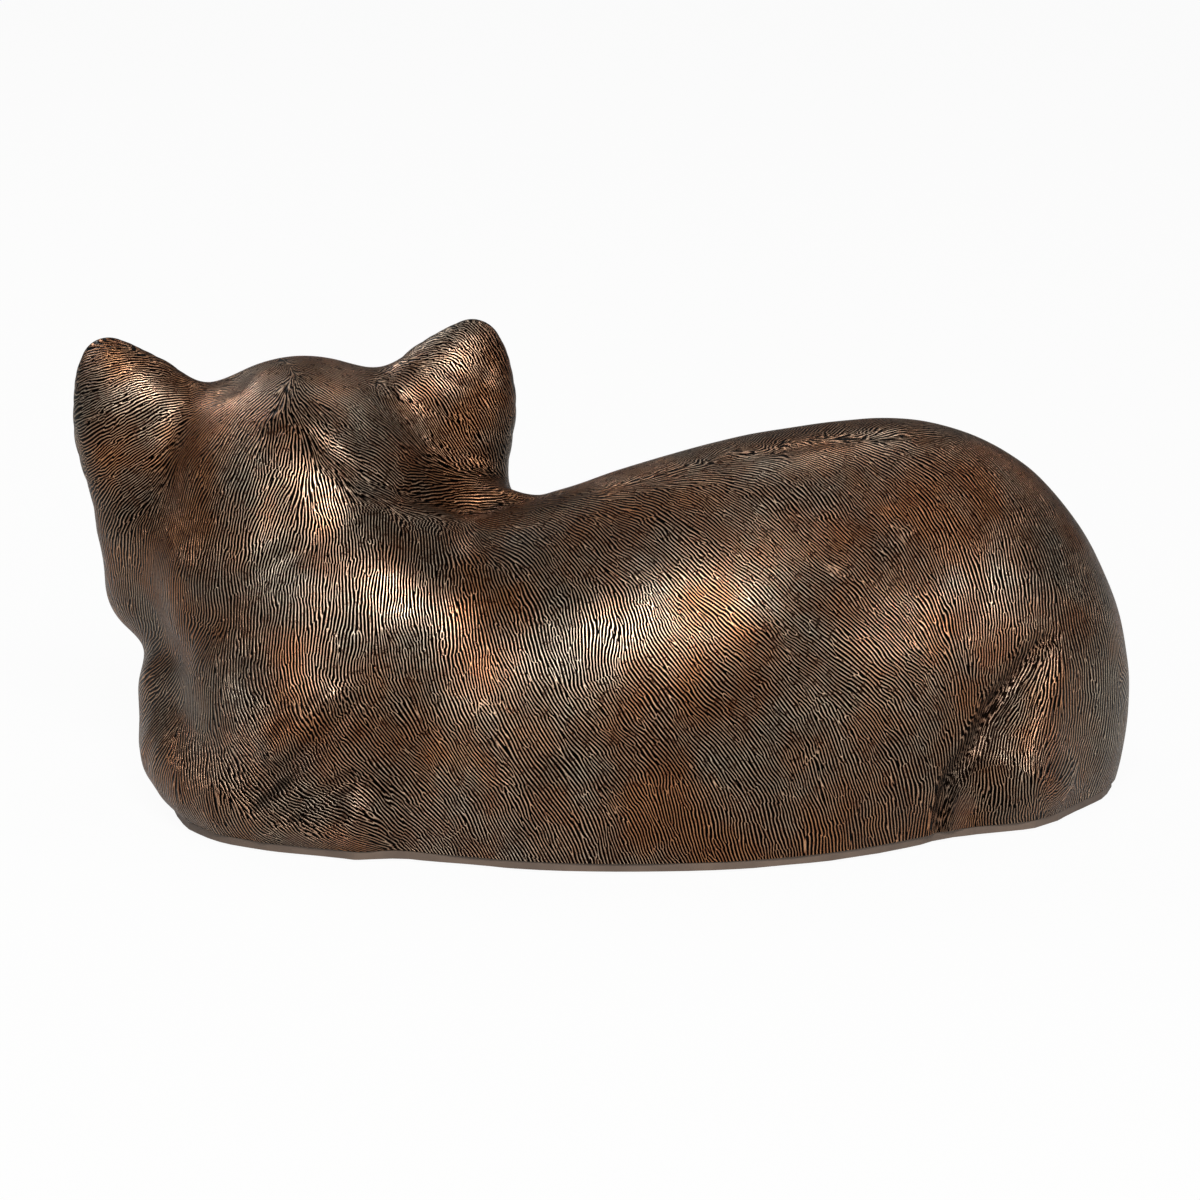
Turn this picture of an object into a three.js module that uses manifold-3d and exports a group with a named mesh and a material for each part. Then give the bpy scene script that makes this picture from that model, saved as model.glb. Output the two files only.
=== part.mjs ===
// Lying cat, a hollow bronze-effect garden statue with a closing plate, a vent plug and rubber pads.
// Millimetres, +Z up. The cat lies along X with its rump at +X and looks along +Y.
// The origin is on the ground, under the middle of the statue's box.

import * as THREE from 'three';
import { mergeVertices } from 'three/addons/utils/BufferGeometryUtils.js';
import Module from 'manifold-3d';

const wasm = await Module();
wasm.setup();

// Overall sizes of the figure
const BODY_LENGTH = 400;
const BODY_DEPTH = 200;
const BACK_HEIGHT = 150;
const HEAD_WIDTH = 150;

// How softly one mass runs into the next
const SOFT_BLEND = 22;
const FIRM_BLEND = 12;
const TIGHT_BLEND = 6;
const LIP_BLEND = 5;
const NOSE_BLEND = 3;
const EYE_BLEND = 1.5;
const NECK_BLEND = 13;

// Casting
const WALL = 5;
const GAP = 0.3;
const SPIGOT_WALL = 4;
const SPIGOT_LENGTH = 14;

// Closing plate with its locating lip
const PLATE_THICKNESS = 3;
const PLATE_INSET = 0.8;
const LIP_HEIGHT = 4;
const LIP_WIDTH = 4;
const LIP_CLEARANCE = 2.5;

// Vent hole and its rubber plug
const VENT_DIAMETER = 20;
const PLUG_HEAD_DIAMETER = 27;
const PLUG_HEAD_THICKNESS = 0.7;
const PLUG_BEAD_DIAMETER = 22;
const PLUG_BEAD_HEIGHT = 2.4;
const PLUG_TIP_DIAMETER = 17;
const PLUG_TIP_HEIGHT = 2;

// Stick-on pads
const PAD_DIAMETER = 16;
const PAD_HEIGHT = 1;

// Counts
const TOE_COUNT = 4;
const RUN_STEPS = 3;
const ROUND_SIDES = 24;

// Facet sizes and the reach of helper solids
const BODY_FACET = 9.4;
const HEAD_FACET = 6;
const INNER_FACET = 16;
const PLATE_FACET = 9;
const MARGIN = 16;
const CUT_REACH = 900;

// Heights above the ground
const PLATE_BOTTOM = PAD_HEIGHT;
const PLATE_TOP = PLATE_BOTTOM + PLATE_THICKNESS;
const CASTING_BOTTOM = PLATE_TOP + GAP;

const COLOURS = {
  bronze: 0x4b2f22,
  plate: 0x5a4a42,
  rubber: 0x1c1b1a,
};

// Masses of the body. Places and half sizes are shares of the length, the depth and the back's
// height; a limb's fourth number is its radius, a share of the back's height. Turns are in
// degrees about Z, Y and X.
const trunk_shares = [
  { blend: SOFT_BLEND, at: [0.02, -0.09, 0.093], half: [0.31, 0.385, 0.735] },
  { blend: SOFT_BLEND, at: [0.13, -0.065, 0.19], half: [0.225, 0.33, 0.75] },
  { blend: SOFT_BLEND, at: [0.2595, 0.012, 0.235], half: [0.2475, 0.3, 0.745], turn: [10, 0, 0] },
  { blend: SOFT_BLEND, at: [-0.195, -0.095, 0.16], half: [0.2, 0.27, 0.533] },
];

const neck_shares = [
  { blend: SOFT_BLEND, run: [[-0.28, 0.03, 0.64, 0.307], [-0.25, -0.06, 0.4, 0.36]] },
  { blend: SOFT_BLEND, at: [-0.292, -0.06, 0.61], half: [0.125, 0.19, 0.25] },
  { blend: SOFT_BLEND, run: [[-0.265, -0.03, 0.747, 0.227], [-0.14, 0, 0.54, 0.2]] },
  { blend: FIRM_BLEND, at: [-0.3, 0.1, 0.28], half: [0.105, 0.17, 0.26] },
];

const shoulder_shares = [
  { blend: SOFT_BLEND, at: [-0.205, -0.17, 0.48], half: [0.09, 0.15, 0.28], turn: [-10, 0, 0] },
  { blend: SOFT_BLEND, at: [-0.255, -0.22, 0.27], half: [0.1, 0.15, 0.23], turn: [-10, 0, 0] },
  { blend: FIRM_BLEND, at: [-0.357, 0.02, 0.27], half: [0.085, 0.17, 0.2] },
  { blend: FIRM_BLEND, at: [-0.19, 0.13, 0.33], half: [0.085, 0.13, 0.29], turn: [10, 0, 0] },
  { blend: TIGHT_BLEND, at: [-0.115, -0.03, 0.72], half: [0.065, 0.06, 0.103] },
];

const foreleg_shares = [
  {
    blend: TIGHT_BLEND,
    run: [
      [-0.22, -0.345, 0.1, 0.11],
      [-0.33, -0.24, 0.12, 0.145],
      [-0.38, -0.08, 0.155, 0.15],
      [-0.382, 0.06, 0.17, 0.145],
    ],
  },
  {
    blend: TIGHT_BLEND,
    run: [[-0.382, 0.05, 0.16, 0.14], [-0.378, 0.26, 0.12, 0.115], [-0.368, 0.38, 0.107, 0.107]],
  },
  {
    blend: TIGHT_BLEND,
    run: [[-0.185, 0.18, 0.16, 0.145], [-0.228, 0.31, 0.12, 0.115], [-0.245, 0.4, 0.107, 0.107]],
  },
];

const hind_leg_shares = [
  { blend: TIGHT_BLEND, at: [0.24, 0.2, 0.33], half: [0.145, 0.165, 0.33], turn: [-6, 10, 0] },
  { blend: TIGHT_BLEND, run: [[0.13, 0.31, 0.15, 0.125], [0.25, 0.33, 0.12, 0.12]] },
  {
    blend: TIGHT_BLEND,
    run: [[0.31, 0.36, 0.1, 0.1], [0.2, 0.375, 0.09, 0.092], [0.11, 0.38, 0.085, 0.087]],
  },
  { blend: TIGHT_BLEND, at: [0.375, 0.24, 0.05], half: [0.075, 0.16, 0.14] },
];

const tail_shares = [
  { blend: FIRM_BLEND, run: [[0.412, -0.07, 0.42, 0.05], [0.375, -0.125, 0.14, 0.185]] },
  {
    blend: TIGHT_BLEND,
    run: [
      [0.37, -0.12, 0.12, 0.16],
      [0.425, 0, 0.13, 0.13],
      [0.452, 0.17, 0.13, 0.125],
      [0.42, 0.34, 0.12, 0.12],
      [0.33, 0.425, 0.105, 0.108],
      [0.24, 0.437, 0.098, 0.1],
      [0.18, 0.43, 0.09, 0.085],
    ],
  },
];

// Paws: where the toes stand, which way they point and how they spread, as shares of the back's
// height, with the toes' radius as the last number.
const paw_shares = [
  { at: [-0.367, 0.455, 0.072], turn: -2, spread: 0.24, length: 0.08, radius: 0.048 },
  { at: [-0.252, 0.465, 0.072], turn: 8, spread: 0.24, length: 0.08, radius: 0.048 },
  { at: [0.075, 0.38, 0.07], turn: 90, spread: 0.22, length: 0.07, radius: 0.044 },
];
const toe_rise_share = 0.02;
const toe_tip_rise_share = 0.0067;
const toe_tip_set_back_share = 0.013;
const toe_step_back_share = 0.07;
const toe_slim_share = 0.9;
const toe_blend_share = 0.33;

// Folds pressed into the coat: a line of places near the surface, which is then set on it, and depth
// and half width as shares of the wall. They are the tail's crease, two folds at the elbow, the fold
// behind the nape, shallow at first and then deeper, and the neck's soft band.
const fold_shares = [
  {
    run: [
      [0.42, -0.15, 0.475],
      [0.404, -0.169, 0.462],
      [0.377, -0.201, 0.392],
      [0.355, -0.23, 0.327],
      [0.336, -0.25, 0.242],
      [0.321, -0.297, 0.167],
      [0.315, -0.304, 0.105],
      [0.313, -0.302, 0.03],
    ],
    depth: 1,
    width: 0.84,
  },
  {
    run: [[-0.217, -0.387, 0.414], [-0.262, -0.394, 0.296], [-0.298, -0.373, 0.2], [-0.329, -0.362, 0.115]],
    depth: 0.6,
    width: 0.64,
  },
  {
    run: [[-0.212, -0.402, 0.243], [-0.26, -0.399, 0.162], [-0.305, -0.378, 0.081]],
    depth: 0.56,
    width: 0.6,
  },
  {
    run: [[-0.27, -0.13, 1], [-0.25, -0.15, 0.933], [-0.225, -0.16, 0.887], [-0.195, -0.15, 0.847]],
    depth: 0.26,
    width: 1,
  },
  {
    run: [
      [-0.195, -0.15, 0.847],
      [-0.165, -0.12, 0.807],
      [-0.138, -0.09, 0.78],
      [-0.105, -0.065, 0.773],
      [-0.075, -0.05, 0.78],
    ],
    depth: 0.6,
    width: 0.9,
  },
  {
    run: [[-0.426, -0.052, 0.355], [-0.377, -0.211, 0.497], [-0.318, -0.263, 0.662], [-0.256, -0.259, 0.759]],
    depth: 0.32,
    width: 1.4,
  },
];

// The head's own frame: its middle, as shares of the body's sizes, and how it is turned about Y.
const head_frame_shares = { at: [-0.285, 0.075, 0.747], turn: -3 };

// Masses of the head, all as shares of its width. Signs of x set left and right.
const skull_shares = [
  { blend: SOFT_BLEND, at: [0.01, -0.027, 0.05], half: [0.345, 0.335, 0.323] },
  { blend: FIRM_BLEND, at: [0, 0.15, 0.08], half: [0.295, 0.22, 0.19] },
  { blend: FIRM_BLEND, at: [-0.28, 0.055, -0.09], half: [0.225, 0.25, 0.23] },
  { blend: FIRM_BLEND, at: [0.28, 0.055, -0.09], half: [0.225, 0.25, 0.23] },
  { blend: FIRM_BLEND, at: [-0.32, 0.065, -0.225], half: [0.195, 0.2, 0.155] },
  { blend: FIRM_BLEND, at: [0.32, 0.065, -0.225], half: [0.195, 0.2, 0.155] },
  { blend: FIRM_BLEND, at: [0, 0.23, -0.155], half: [0.26, 0.21, 0.16] },
];

const face_shares = [
  { blend: FIRM_BLEND, run: [[0, 0.27, 0.075, 0.085], [0, 0.385, 0.015, 0.062], [0, 0.475, -0.045, 0.047]] },
  { blend: FIRM_BLEND, at: [-0.235, 0.255, -0.055], half: [0.135, 0.135, 0.1], turn: [-20, 0, 0] },
  { blend: FIRM_BLEND, at: [0.235, 0.255, -0.055], half: [0.135, 0.135, 0.1], turn: [20, 0, 0] },
  { blend: LIP_BLEND, at: [-0.083, 0.405, -0.125], half: [0.105, 0.118, 0.083], turn: [14, 0, 0] },
  { blend: LIP_BLEND, at: [0.083, 0.405, -0.125], half: [0.105, 0.118, 0.083], turn: [-14, 0, 0] },
  { blend: LIP_BLEND, at: [0, 0.4, -0.215], half: [0.087, 0.093, 0.06] },
  { blend: NOSE_BLEND, at: [0, 0.507, -0.062], half: [0.055, 0.035, 0.037], turn: [0, 0, -20] },
  {
    blend: FIRM_BLEND,
    run: [[-0.08, 0.325, 0.125, 0.04], [-0.185, 0.3, 0.135, 0.042], [-0.28, 0.225, 0.085, 0.04]],
  },
  {
    blend: FIRM_BLEND,
    run: [[0.08, 0.325, 0.125, 0.04], [0.185, 0.3, 0.135, 0.042], [0.28, 0.225, 0.085, 0.04]],
  },
  { blend: TIGHT_BLEND, carve: true, at: [-0.17, 0.395, 0.04], half: [0.088, 0.1, 0.062], turn: [26, -12, 0] },
  { blend: TIGHT_BLEND, carve: true, at: [0.17, 0.395, 0.04], half: [0.088, 0.1, 0.062], turn: [-26, 12, 0] },
  { blend: EYE_BLEND, at: [-0.165, 0.3, 0.04], half: [0.083, 0.083, 0.078] },
  { blend: EYE_BLEND, at: [0.165, 0.3, 0.04], half: [0.083, 0.083, 0.078] },
];

// An ear is a tapering run, flattened front to back, with a smaller run scooped out of its front.
const ear_shares = [
  [0.305, 0, 0.045, 0.222],
  [0.375, 0, 0.2, 0.185],
  [0.432, 0.013, 0.312, 0.12],
  [0.456, 0.027, 0.368, 0.078],
];
const ear_scoop_shares = [
  [0.32, 0.215, 0.05, 0.155],
  [0.375, 0.195, 0.185, 0.138],
  [0.432, 0.135, 0.31, 0.075],
  [0.45, 0.115, 0.36, 0.04],
];
const ear_flat_share = 0.6;
const ear_field_share = 0.72;

// Where the pads stand and where the vent is, as shares of length and depth.
const pad_place_shares = [[-0.3, -0.16], [0.3, -0.08], [0.3, 0.24], [-0.24, 0.33]];
const vent_place_share = [0.02, -0.08];

// Smooth joining and cutting of two distances
function join(a, b, blend) {
  const overlap = Math.max(blend - Math.abs(a - b), 0) / blend;
  return Math.min(a, b) - (overlap * overlap * blend) / 4;
}

function cut(a, b, blend) {
  return -join(-a, b, blend);
}

// A smooth run through places that carry a radius as their fourth number
function smoothRun(places, steps) {
  const first = places[0].map((v, k) => 2 * v - places[1][k]);
  const last = places.at(-1).map((v, k) => 2 * v - places.at(-2)[k]);
  const all = [first, ...places, last];
  const run = [];
  for (let i = 1; i < all.length - 2; i += 1) {
    for (let s = 0; s < steps; s += 1) {
      const t = s / steps;
      run.push(
        all[i].map((b, k) => {
          const [a, c, d] = [all[i - 1][k], all[i + 1][k], all[i + 2][k]];
          const bend = 2 * a - 5 * b + 4 * c - d;
          const twist = 3 * b - 3 * c + d - a;
          return (2 * b + (c - a) * t + bend * t * t + twist * t * t * t) / 2;
        }),
      );
    }
  }
  run.push(places.at(-1));
  return run;
}

// Distance to an egg with its middle, half sizes and turn
function eggField(centre, half, turn) {
  const [cx, cy, cz] = centre;
  const [rx, ry, rz] = half;
  const [tz, ty, tx] = turn.map(THREE.MathUtils.degToRad);
  const m = new THREE.Matrix4().makeRotationFromEuler(new THREE.Euler(tx, ty, tz, 'ZYX')).elements;
  return (px, py, pz) => {
    const [x, y, z] = [px - cx, py - cy, pz - cz];
    const ax = (x * m[0] + y * m[1] + z * m[2]) / rx;
    const ay = (x * m[4] + y * m[5] + z * m[6]) / ry;
    const az = (x * m[8] + y * m[9] + z * m[10]) / rz;
    const reach = Math.hypot(ax, ay, az);
    const steep = Math.hypot(ax / rx, ay / ry, az / rz);
    return steep > 0 ? (reach * (reach - 1)) / steep : -Math.min(rx, ry, rz);
  };
}

// Distance to a tapering round run
function runField(run) {
  const parts = run.slice(1).map((b, i) => {
    const a = run[i];
    const d = [b[0] - a[0], b[1] - a[1], b[2] - a[2]];
    return { a, d, taper: b[3] - a[3], square: d[0] * d[0] + d[1] * d[1] + d[2] * d[2] };
  });
  return (px, py, pz) => {
    let least = Infinity;
    for (const { a, d, taper, square } of parts) {
      const [x, y, z] = [px - a[0], py - a[1], pz - a[2]];
      const t = Math.min(Math.max((x * d[0] + y * d[1] + z * d[2]) / square, 0), 1);
      const away = Math.hypot(x - t * d[0], y - t * d[1], z - t * d[2]);
      least = Math.min(least, away - a[3] - t * taper);
    }
    return least;
  };
}

// Shares turned into places
const bodyPlace = ([x, y, z, r = 0]) => [x * BODY_LENGTH, y * BODY_DEPTH, z * BACK_HEIGHT, r * BACK_HEIGHT];
const bodyHalf = ([x, y, z]) => [x * BODY_LENGTH, y * BODY_DEPTH, z * BACK_HEIGHT];
const headPlace = (share) => share.map((v) => v * HEAD_WIDTH);


function massField(mass, place, half) {
  if (mass.run) {
    const places = mass.run.map(place);
    return runField(places.length > 2 ? smoothRun(places, RUN_STEPS) : places);
  }
  return eggField(place(mass.at).slice(0, 3), half(mass.half), mass.turn ?? [0, 0, 0]);
}

// One distance for a whole list of masses, added in order
function massesField(masses, place, half) {
  const fields = masses.map((mass) => ({ ...mass, field: massField(mass, place, half) }));
  return (x, y, z) => {
    let d = Infinity;
    for (const { field, blend, carve } of fields) {
      const e = field(x, y, z);
      if (carve) d = cut(d, e, blend);
      else d = d === Infinity ? e : join(d, e, blend);
    }
    return d;
  };
}

// A paw's row of toes
function toesField({ at, turn, spread, length, radius }) {
  const [cx, cy, cz] = bodyPlace(at);
  const angle = THREE.MathUtils.degToRad(turn);
  const [c, s] = [Math.cos(angle), Math.sin(angle)];
  const unit = BACK_HEIGHT;
  const toes = Array.from({ length: TOE_COUNT }, (_, i) => {
    const side = i - (TOE_COUNT - 1) / 2;
    const x = (side * spread * unit) / TOE_COUNT;
    const y = -Math.abs(side) * spread * unit * toe_step_back_share;
    return runField([
      [x, y - length * unit, toe_rise_share * unit, radius * toe_slim_share * unit],
      [x, y - toe_tip_set_back_share * unit, toe_tip_rise_share * unit, radius * unit],
    ]);
  });
  return (px, py, pz) => {
    const [x, y, z] = [px - cx, py - cy, pz - cz];
    const [u, v] = [x * c + y * s, y * c - x * s];
    return toes.map((toe) => toe(u, v, z)).reduce((a, b) => join(a, b, TIGHT_BLEND * toe_blend_share));
  };
}

// The whole body without the head
function bodyField() {
  const masses = massesField(
    [
      ...trunk_shares,
      ...neck_shares,
      ...shoulder_shares,
      ...foreleg_shares,
      ...hind_leg_shares,
      ...tail_shares,
    ],
    bodyPlace,
    bodyHalf,
  );
  const paws = paw_shares.map(toesField);
  return (x, y, z) => paws.reduce((d, paw) => join(d, paw(x, y, z), LIP_BLEND), masses(x, y, z));
}

// Brings a distance written in the head's frame into the statue's frame
function inHeadFrame(field) {
  const [hx, hy, hz] = bodyPlace(head_frame_shares.at);
  const lean = THREE.MathUtils.degToRad(head_frame_shares.turn);
  const [c, s] = [Math.cos(lean), Math.sin(lean)];
  return (x, y, z) => field((x - hx) * c - (z - hz) * s, y - hy, (x - hx) * s + (z - hz) * c);
}

function earField() {
  const outer = runField(smoothRun(ear_shares.map(headPlace), RUN_STEPS));
  const scoop = runField(smoothRun(ear_scoop_shares.map(headPlace), RUN_STEPS));
  return (x, y, z) => {
    const [u, v] = [Math.abs(x), y / ear_flat_share];
    return cut(outer(u, v, z), scoop(u, v, z), LIP_BLEND) * ear_field_share;
  };
}

function headField() {
  const masses = massesField([...skull_shares, ...face_shares], headPlace, headPlace);
  const ear = earField();
  return inHeadFrame((x, y, z) => join(masses(x, y, z), ear(x, y, z), FIRM_BLEND));
}

const body = bodyField();
const head = headField();
const skull = inHeadFrame(massesField(skull_shares, headPlace, headPlace));
const core = massesField([...trunk_shares, ...neck_shares, ...shoulder_shares], bodyPlace, bodyHalf);
const unfolded = (x, y, z) => join(body(x, y, z), head(x, y, z), NECK_BLEND);
const onCoat = (place) => seat(unfolded, place, WALL / 4, WALL);
const folds = fold_shares.map((fold) => ({
  line: runField(smoothRun(fold.run.map(bodyPlace), RUN_STEPS).map((place) => [...onCoat(onCoat(place)), 0])),
  depth: fold.depth * WALL,
  width: fold.width * WALL,
}));

// The outside of the whole cat
function cat(x, y, z) {
  let d = unfolded(x, y, z);
  for (const { line, depth, width } of folds) d += depth * Math.exp(-((line(x, y, z) / width) ** 2));
  return d;
}

// The casting's room inside: it follows the trunk, neck and skull and leaves limbs, ears and face solid
function room(x, y, z) {
  return Math.max(cat(x, y, z), join(core(x, y, z), skull(x, y, z), NECK_BLEND));
}

// The seam between head and body, where the two meet in the fold of the neck
const seam = (x, y, z) => head(x, y, z) - body(x, y, z);

// Where two inside corners of a square or a cell only meet across its diagonal, the surface would
// pinch. The outside corner that lies nearest the surface is then counted as inside.
function unpinch(value, n, at) {
  const step = [n[1] * n[2], n[2], 1];
  const fill = (nodes) => {
    const nearest = nodes.reduce((a, b) => (value[a] < value[b] ? a : b));
    value[nearest] = -Math.abs(value[nearest]) - Number.EPSILON;
  };
  let pinches = 1;
  while (pinches > 0) {
    pinches = 0;
    for (let i = 0; i < n[0] - 1; i += 1) {
      for (let j = 0; j < n[1] - 1; j += 1) {
        for (let k = 0; k < n[2] - 1; k += 1) {
          const here = at(i, j, k);
          for (let m = 0; m < 3; m += 1) {
            const [u, w] = [step[(m + 1) % 3], step[(m + 2) % 3]];
            const square = [here, here + u, here + u + w, here + w];
            const [a, b, c, d] = square.map((node) => value[node] < 0);
            if (a !== c || b !== d || a === b) continue;
            fill(a ? [square[1], square[3]] : [square[0], square[2]]);
            pinches += 1;
          }
          const far = here + step[0] + step[1] + step[2];
          for (const across of [0, ...step]) {
            const pair = [here + across, far - across];
            const rest = [0, ...step].filter((v) => v !== across).flatMap((v) => [here + v, far - v]);
            const sides = pair.map((node) => value[node] < 0);
            if (sides[0] !== sides[1]) continue;
            if (rest.some((node) => value[node] < 0 === sides[0])) continue;
            fill(sides[0] ? rest : pair);
            pinches += 1;
          }
        }
      }
    }
  }
}

// Closed net of a field's zero surface on a grid of cells, which may be taller than they are wide
function net(field, low, high, cell, tall = cell) {
  const size = [cell, cell, tall];
  const n = low.map((v, k) => Math.ceil((high[k] - v) / size[k] - cell / CUT_REACH) + 1);
  const at = (i, j, k) => (i * n[1] + j) * n[2] + k;
  const value = new Float64Array(n[0] * n[1] * n[2]);
  for (let i = 0; i < n[0]; i += 1) {
    for (let j = 0; j < n[1]; j += 1) {
      for (let k = 0; k < n[2]; k += 1) {
        const edge = i === 0 || j === 0 || k === 0 || i === n[0] - 1 || j === n[1] - 1 || k === n[2] - 1;
        const d = field(low[0] + i * cell, low[1] + j * cell, low[2] + k * tall);
        value[at(i, j, k)] = edge ? Math.max(d, cell / 2) : d;
      }
    }
  }
  unpinch(value, n, at);
  const points = [];
  const index = new Map();
  const corner = [[0, 0, 0], [1, 0, 0], [0, 1, 0], [1, 1, 0], [0, 0, 1], [1, 0, 1], [0, 1, 1], [1, 1, 1]];
  const edges = [
    [0, 1], [2, 3], [4, 5], [6, 7], [0, 2], [1, 3], [4, 6], [5, 7], [0, 4], [1, 5], [2, 6], [3, 7],
  ];
  for (let i = 0; i < n[0] - 1; i += 1) {
    for (let j = 0; j < n[1] - 1; j += 1) {
      for (let k = 0; k < n[2] - 1; k += 1) {
        const v = corner.map((c) => value[at(i + c[0], j + c[1], k + c[2])]);
        const sum = [0, 0, 0];
        let hits = 0;
        for (const [a, b] of edges) {
          if (v[a] < 0 === v[b] < 0) continue;
          const t = v[a] / (v[a] - v[b]);
          for (let m = 0; m < 3; m += 1) sum[m] += corner[a][m] + t * (corner[b][m] - corner[a][m]);
          hits += 1;
        }
        if (hits === 0) continue;
        index.set(at(i, j, k), points.length);
        points.push([i, j, k].map((c, m) => low[m] + (c + sum[m] / hits) * size[m]));
      }
    }
  }
  const quads = [];
  const step = [n[1] * n[2], n[2], 1];
  for (let i = 0; i < n[0] - 1; i += 1) {
    for (let j = 0; j < n[1] - 1; j += 1) {
      for (let k = 0; k < n[2] - 1; k += 1) {
        const here = at(i, j, k);
        const inside = value[here] < 0;
        for (let m = 0; m < 3; m += 1) {
          if (inside === value[here + step[m]] < 0) continue;
          const [u, w] = [step[(m + 1) % 3], step[(m + 2) % 3]];
          const ring = [here, here - u, here - u - w, here - w].map((c) => index.get(c));
          quads.push(inside ? ring : ring.reverse());
        }
      }
    }
  }
  return { points, quads };
}

// Outward direction of a field at a place
function slope(field, [x, y, z], reach) {
  const g = [
    field(x + reach, y, z) - field(x - reach, y, z),
    field(x, y + reach, z) - field(x, y - reach, z),
    field(x, y, z + reach) - field(x, y, z - reach),
  ];
  return g.map((v) => v / (2 * reach));
}

// Moves a place on to a field's surface, by no more than the most that is given
function seat(field, [x, y, z], reach, most) {
  const g = slope(field, [x, y, z], reach);
  const d = field(x, y, z) / Math.max(g[0] ** 2 + g[1] ** 2 + g[2] ** 2, 1 / 16);
  const move = Math.min(Math.max(d, -most), most);
  return [x - move * g[0], y - move * g[1], z - move * g[2]];
}

// Evens the net out along the surface and sets every point back on it
function settle({ points, quads }, field, cell) {
  const near = points.map(() => new Set());
  for (const q of quads) q.forEach((a, i) => near[a].add(q[(i + 1) % 4]).add(q[(i + 3) % 4]));
  const onField = (p) => seat(field, p, cell / 16, cell / 3);
  let now = points.map(onField);
  for (let round = 0; round < 2; round += 1) {
    now = now.map((p, i) => {
      const ring = [...near[i]];
      return p.map((v, k) => (v + ring.reduce((sum, a) => sum + now[a][k], 0) / ring.length) / 2);
    });
    now = now.map(onField).map(onField);
  }
  return { points: now, quads };
}

// Splits each four-sided facet along its shorter diagonal
function facets({ points, quads }) {
  const span = (a, b) => Math.hypot(...points[a].map((v, k) => v - points[b][k]));
  return quads.flatMap(([a, b, c, d]) =>
    span(a, c) < span(b, d) ? [a, b, c, a, c, d] : [a, b, d, b, c, d],
  );
}

function solidOf(points, triangles) {
  const mesh = new wasm.Mesh({
    numProp: 3,
    vertProperties: new Float32Array(points.flat()),
    triVerts: new Uint32Array(triangles),
  });
  return new wasm.Manifold(mesh);
}

// Moves every point of a net along the surface's own outward direction
function swollen({ points, quads }, by) {
  const normals = points.map(() => new THREE.Vector3());
  for (const q of quads) {
    const p = q.map((i) => new THREE.Vector3(...points[i]));
    const n = p[2].clone().sub(p[0]).cross(p[3].clone().sub(p[1]));
    q.forEach((i) => normals[i].add(n));
  }
  const moved = points.map((p, i) => {
    const n = normals[i].normalize().toArray();
    return p.map((v, k) => v + n[k] * by);
  });
  return { points: moved, quads };
}

const netSolid = (shape) => solidOf(shape.points, facets(shape));

// A three.js geometry as a solid
function geometrySolid(geometry) {
  const bare = geometry.clone();
  bare.deleteAttribute('normal');
  bare.deleteAttribute('uv');
  const merged = mergeVertices(bare, GAP / 100);
  return new wasm.Manifold(
    new wasm.Mesh({
      numProp: 3,
      vertProperties: new Float32Array(merged.attributes.position.array),
      triVerts: new Uint32Array(merged.index.array),
    }),
  );
}

// A wide block between two heights
function slab(bottom, top) {
  const block = new THREE.BoxGeometry(CUT_REACH, CUT_REACH, top - bottom);
  block.translate(0, 0, (top + bottom) / 2);
  return geometrySolid(block);
}

function meshOf(name, solid, colour, roughness, metalness) {
  const { vertProperties, triVerts } = solid.getMesh();
  const geometry = new THREE.BufferGeometry();
  geometry.setAttribute('position', new THREE.BufferAttribute(new Float32Array(vertProperties), 3));
  geometry.setIndex(new THREE.BufferAttribute(new Uint32Array(triVerts), 1));
  geometry.computeVertexNormals();
  return named(name, geometry, colour, roughness, metalness);
}

function named(name, geometry, colour, roughness, metalness) {
  const mesh = new THREE.Mesh(geometry, new THREE.MeshStandardMaterial({ color: colour, roughness, metalness }));
  mesh.name = name;
  return mesh;
}

// Boxes that hold the whole cat, and its head and neck
const bodyLow = [-BODY_LENGTH / 2 - MARGIN, -BODY_DEPTH / 2 - MARGIN, -MARGIN];
const bodyHigh = [
  BODY_LENGTH / 2 + MARGIN,
  BODY_DEPTH / 2 + MARGIN,
  bodyPlace(head_frame_shares.at)[2] + HEAD_WIDTH / 2 + MARGIN,
];
const headMiddle = bodyPlace(head_frame_shares.at);
const headLow = headMiddle.map((v) => v - (HEAD_WIDTH * 2) / 3);
const headHigh = headMiddle.map((v) => v + (HEAD_WIDTH * 2) / 3);

function outline(field, low, high, cell) {
  return settle(net(field, low, high, cell), field, cell);
}

// Shapes that both castings share
const seamNet = outline(seam, headLow.map((v) => v - MARGIN), headHigh.map((v) => v + MARGIN), INNER_FACET);
const roomNet = outline((x, y, z) => room(x, y, z) + WALL, bodyLow, bodyHigh, INNER_FACET);
const aboveFloor = slab(CASTING_BOTTOM, CUT_REACH);

function bodyCasting() {
  const outside = netSolid(outline(cat, bodyLow, bodyHigh, BODY_FACET));
  return outside
    .subtract(netSolid(swollen(seamNet, GAP)))
    .subtract(netSolid(roomNet))
    .intersect(aboveFloor);
}

// The head is cast apart, with a spigot that stands inside the neck's wall
function headCasting() {
  const outside = netSolid(outline(cat, headLow, headHigh, HEAD_FACET));
  const reach = (x, y, z) => seam(x, y, z) - SPIGOT_LENGTH;
  const spigotEnd = netSolid(
    outline(reach, headLow.map((v) => v - MARGIN), headHigh.map((v) => v + MARGIN), INNER_FACET),
  );
  const spigot = netSolid(swollen(roomNet, -GAP)).intersect(spigotEnd);
  const hollow = (x, y, z) => room(x, y, z) + WALL + SPIGOT_WALL;
  return outside
    .intersect(netSolid(seamNet))
    .add(spigot)
    .subtract(netSolid(outline(hollow, bodyLow, bodyHigh, INNER_FACET)))
    .intersect(aboveFloor);
}

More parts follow.
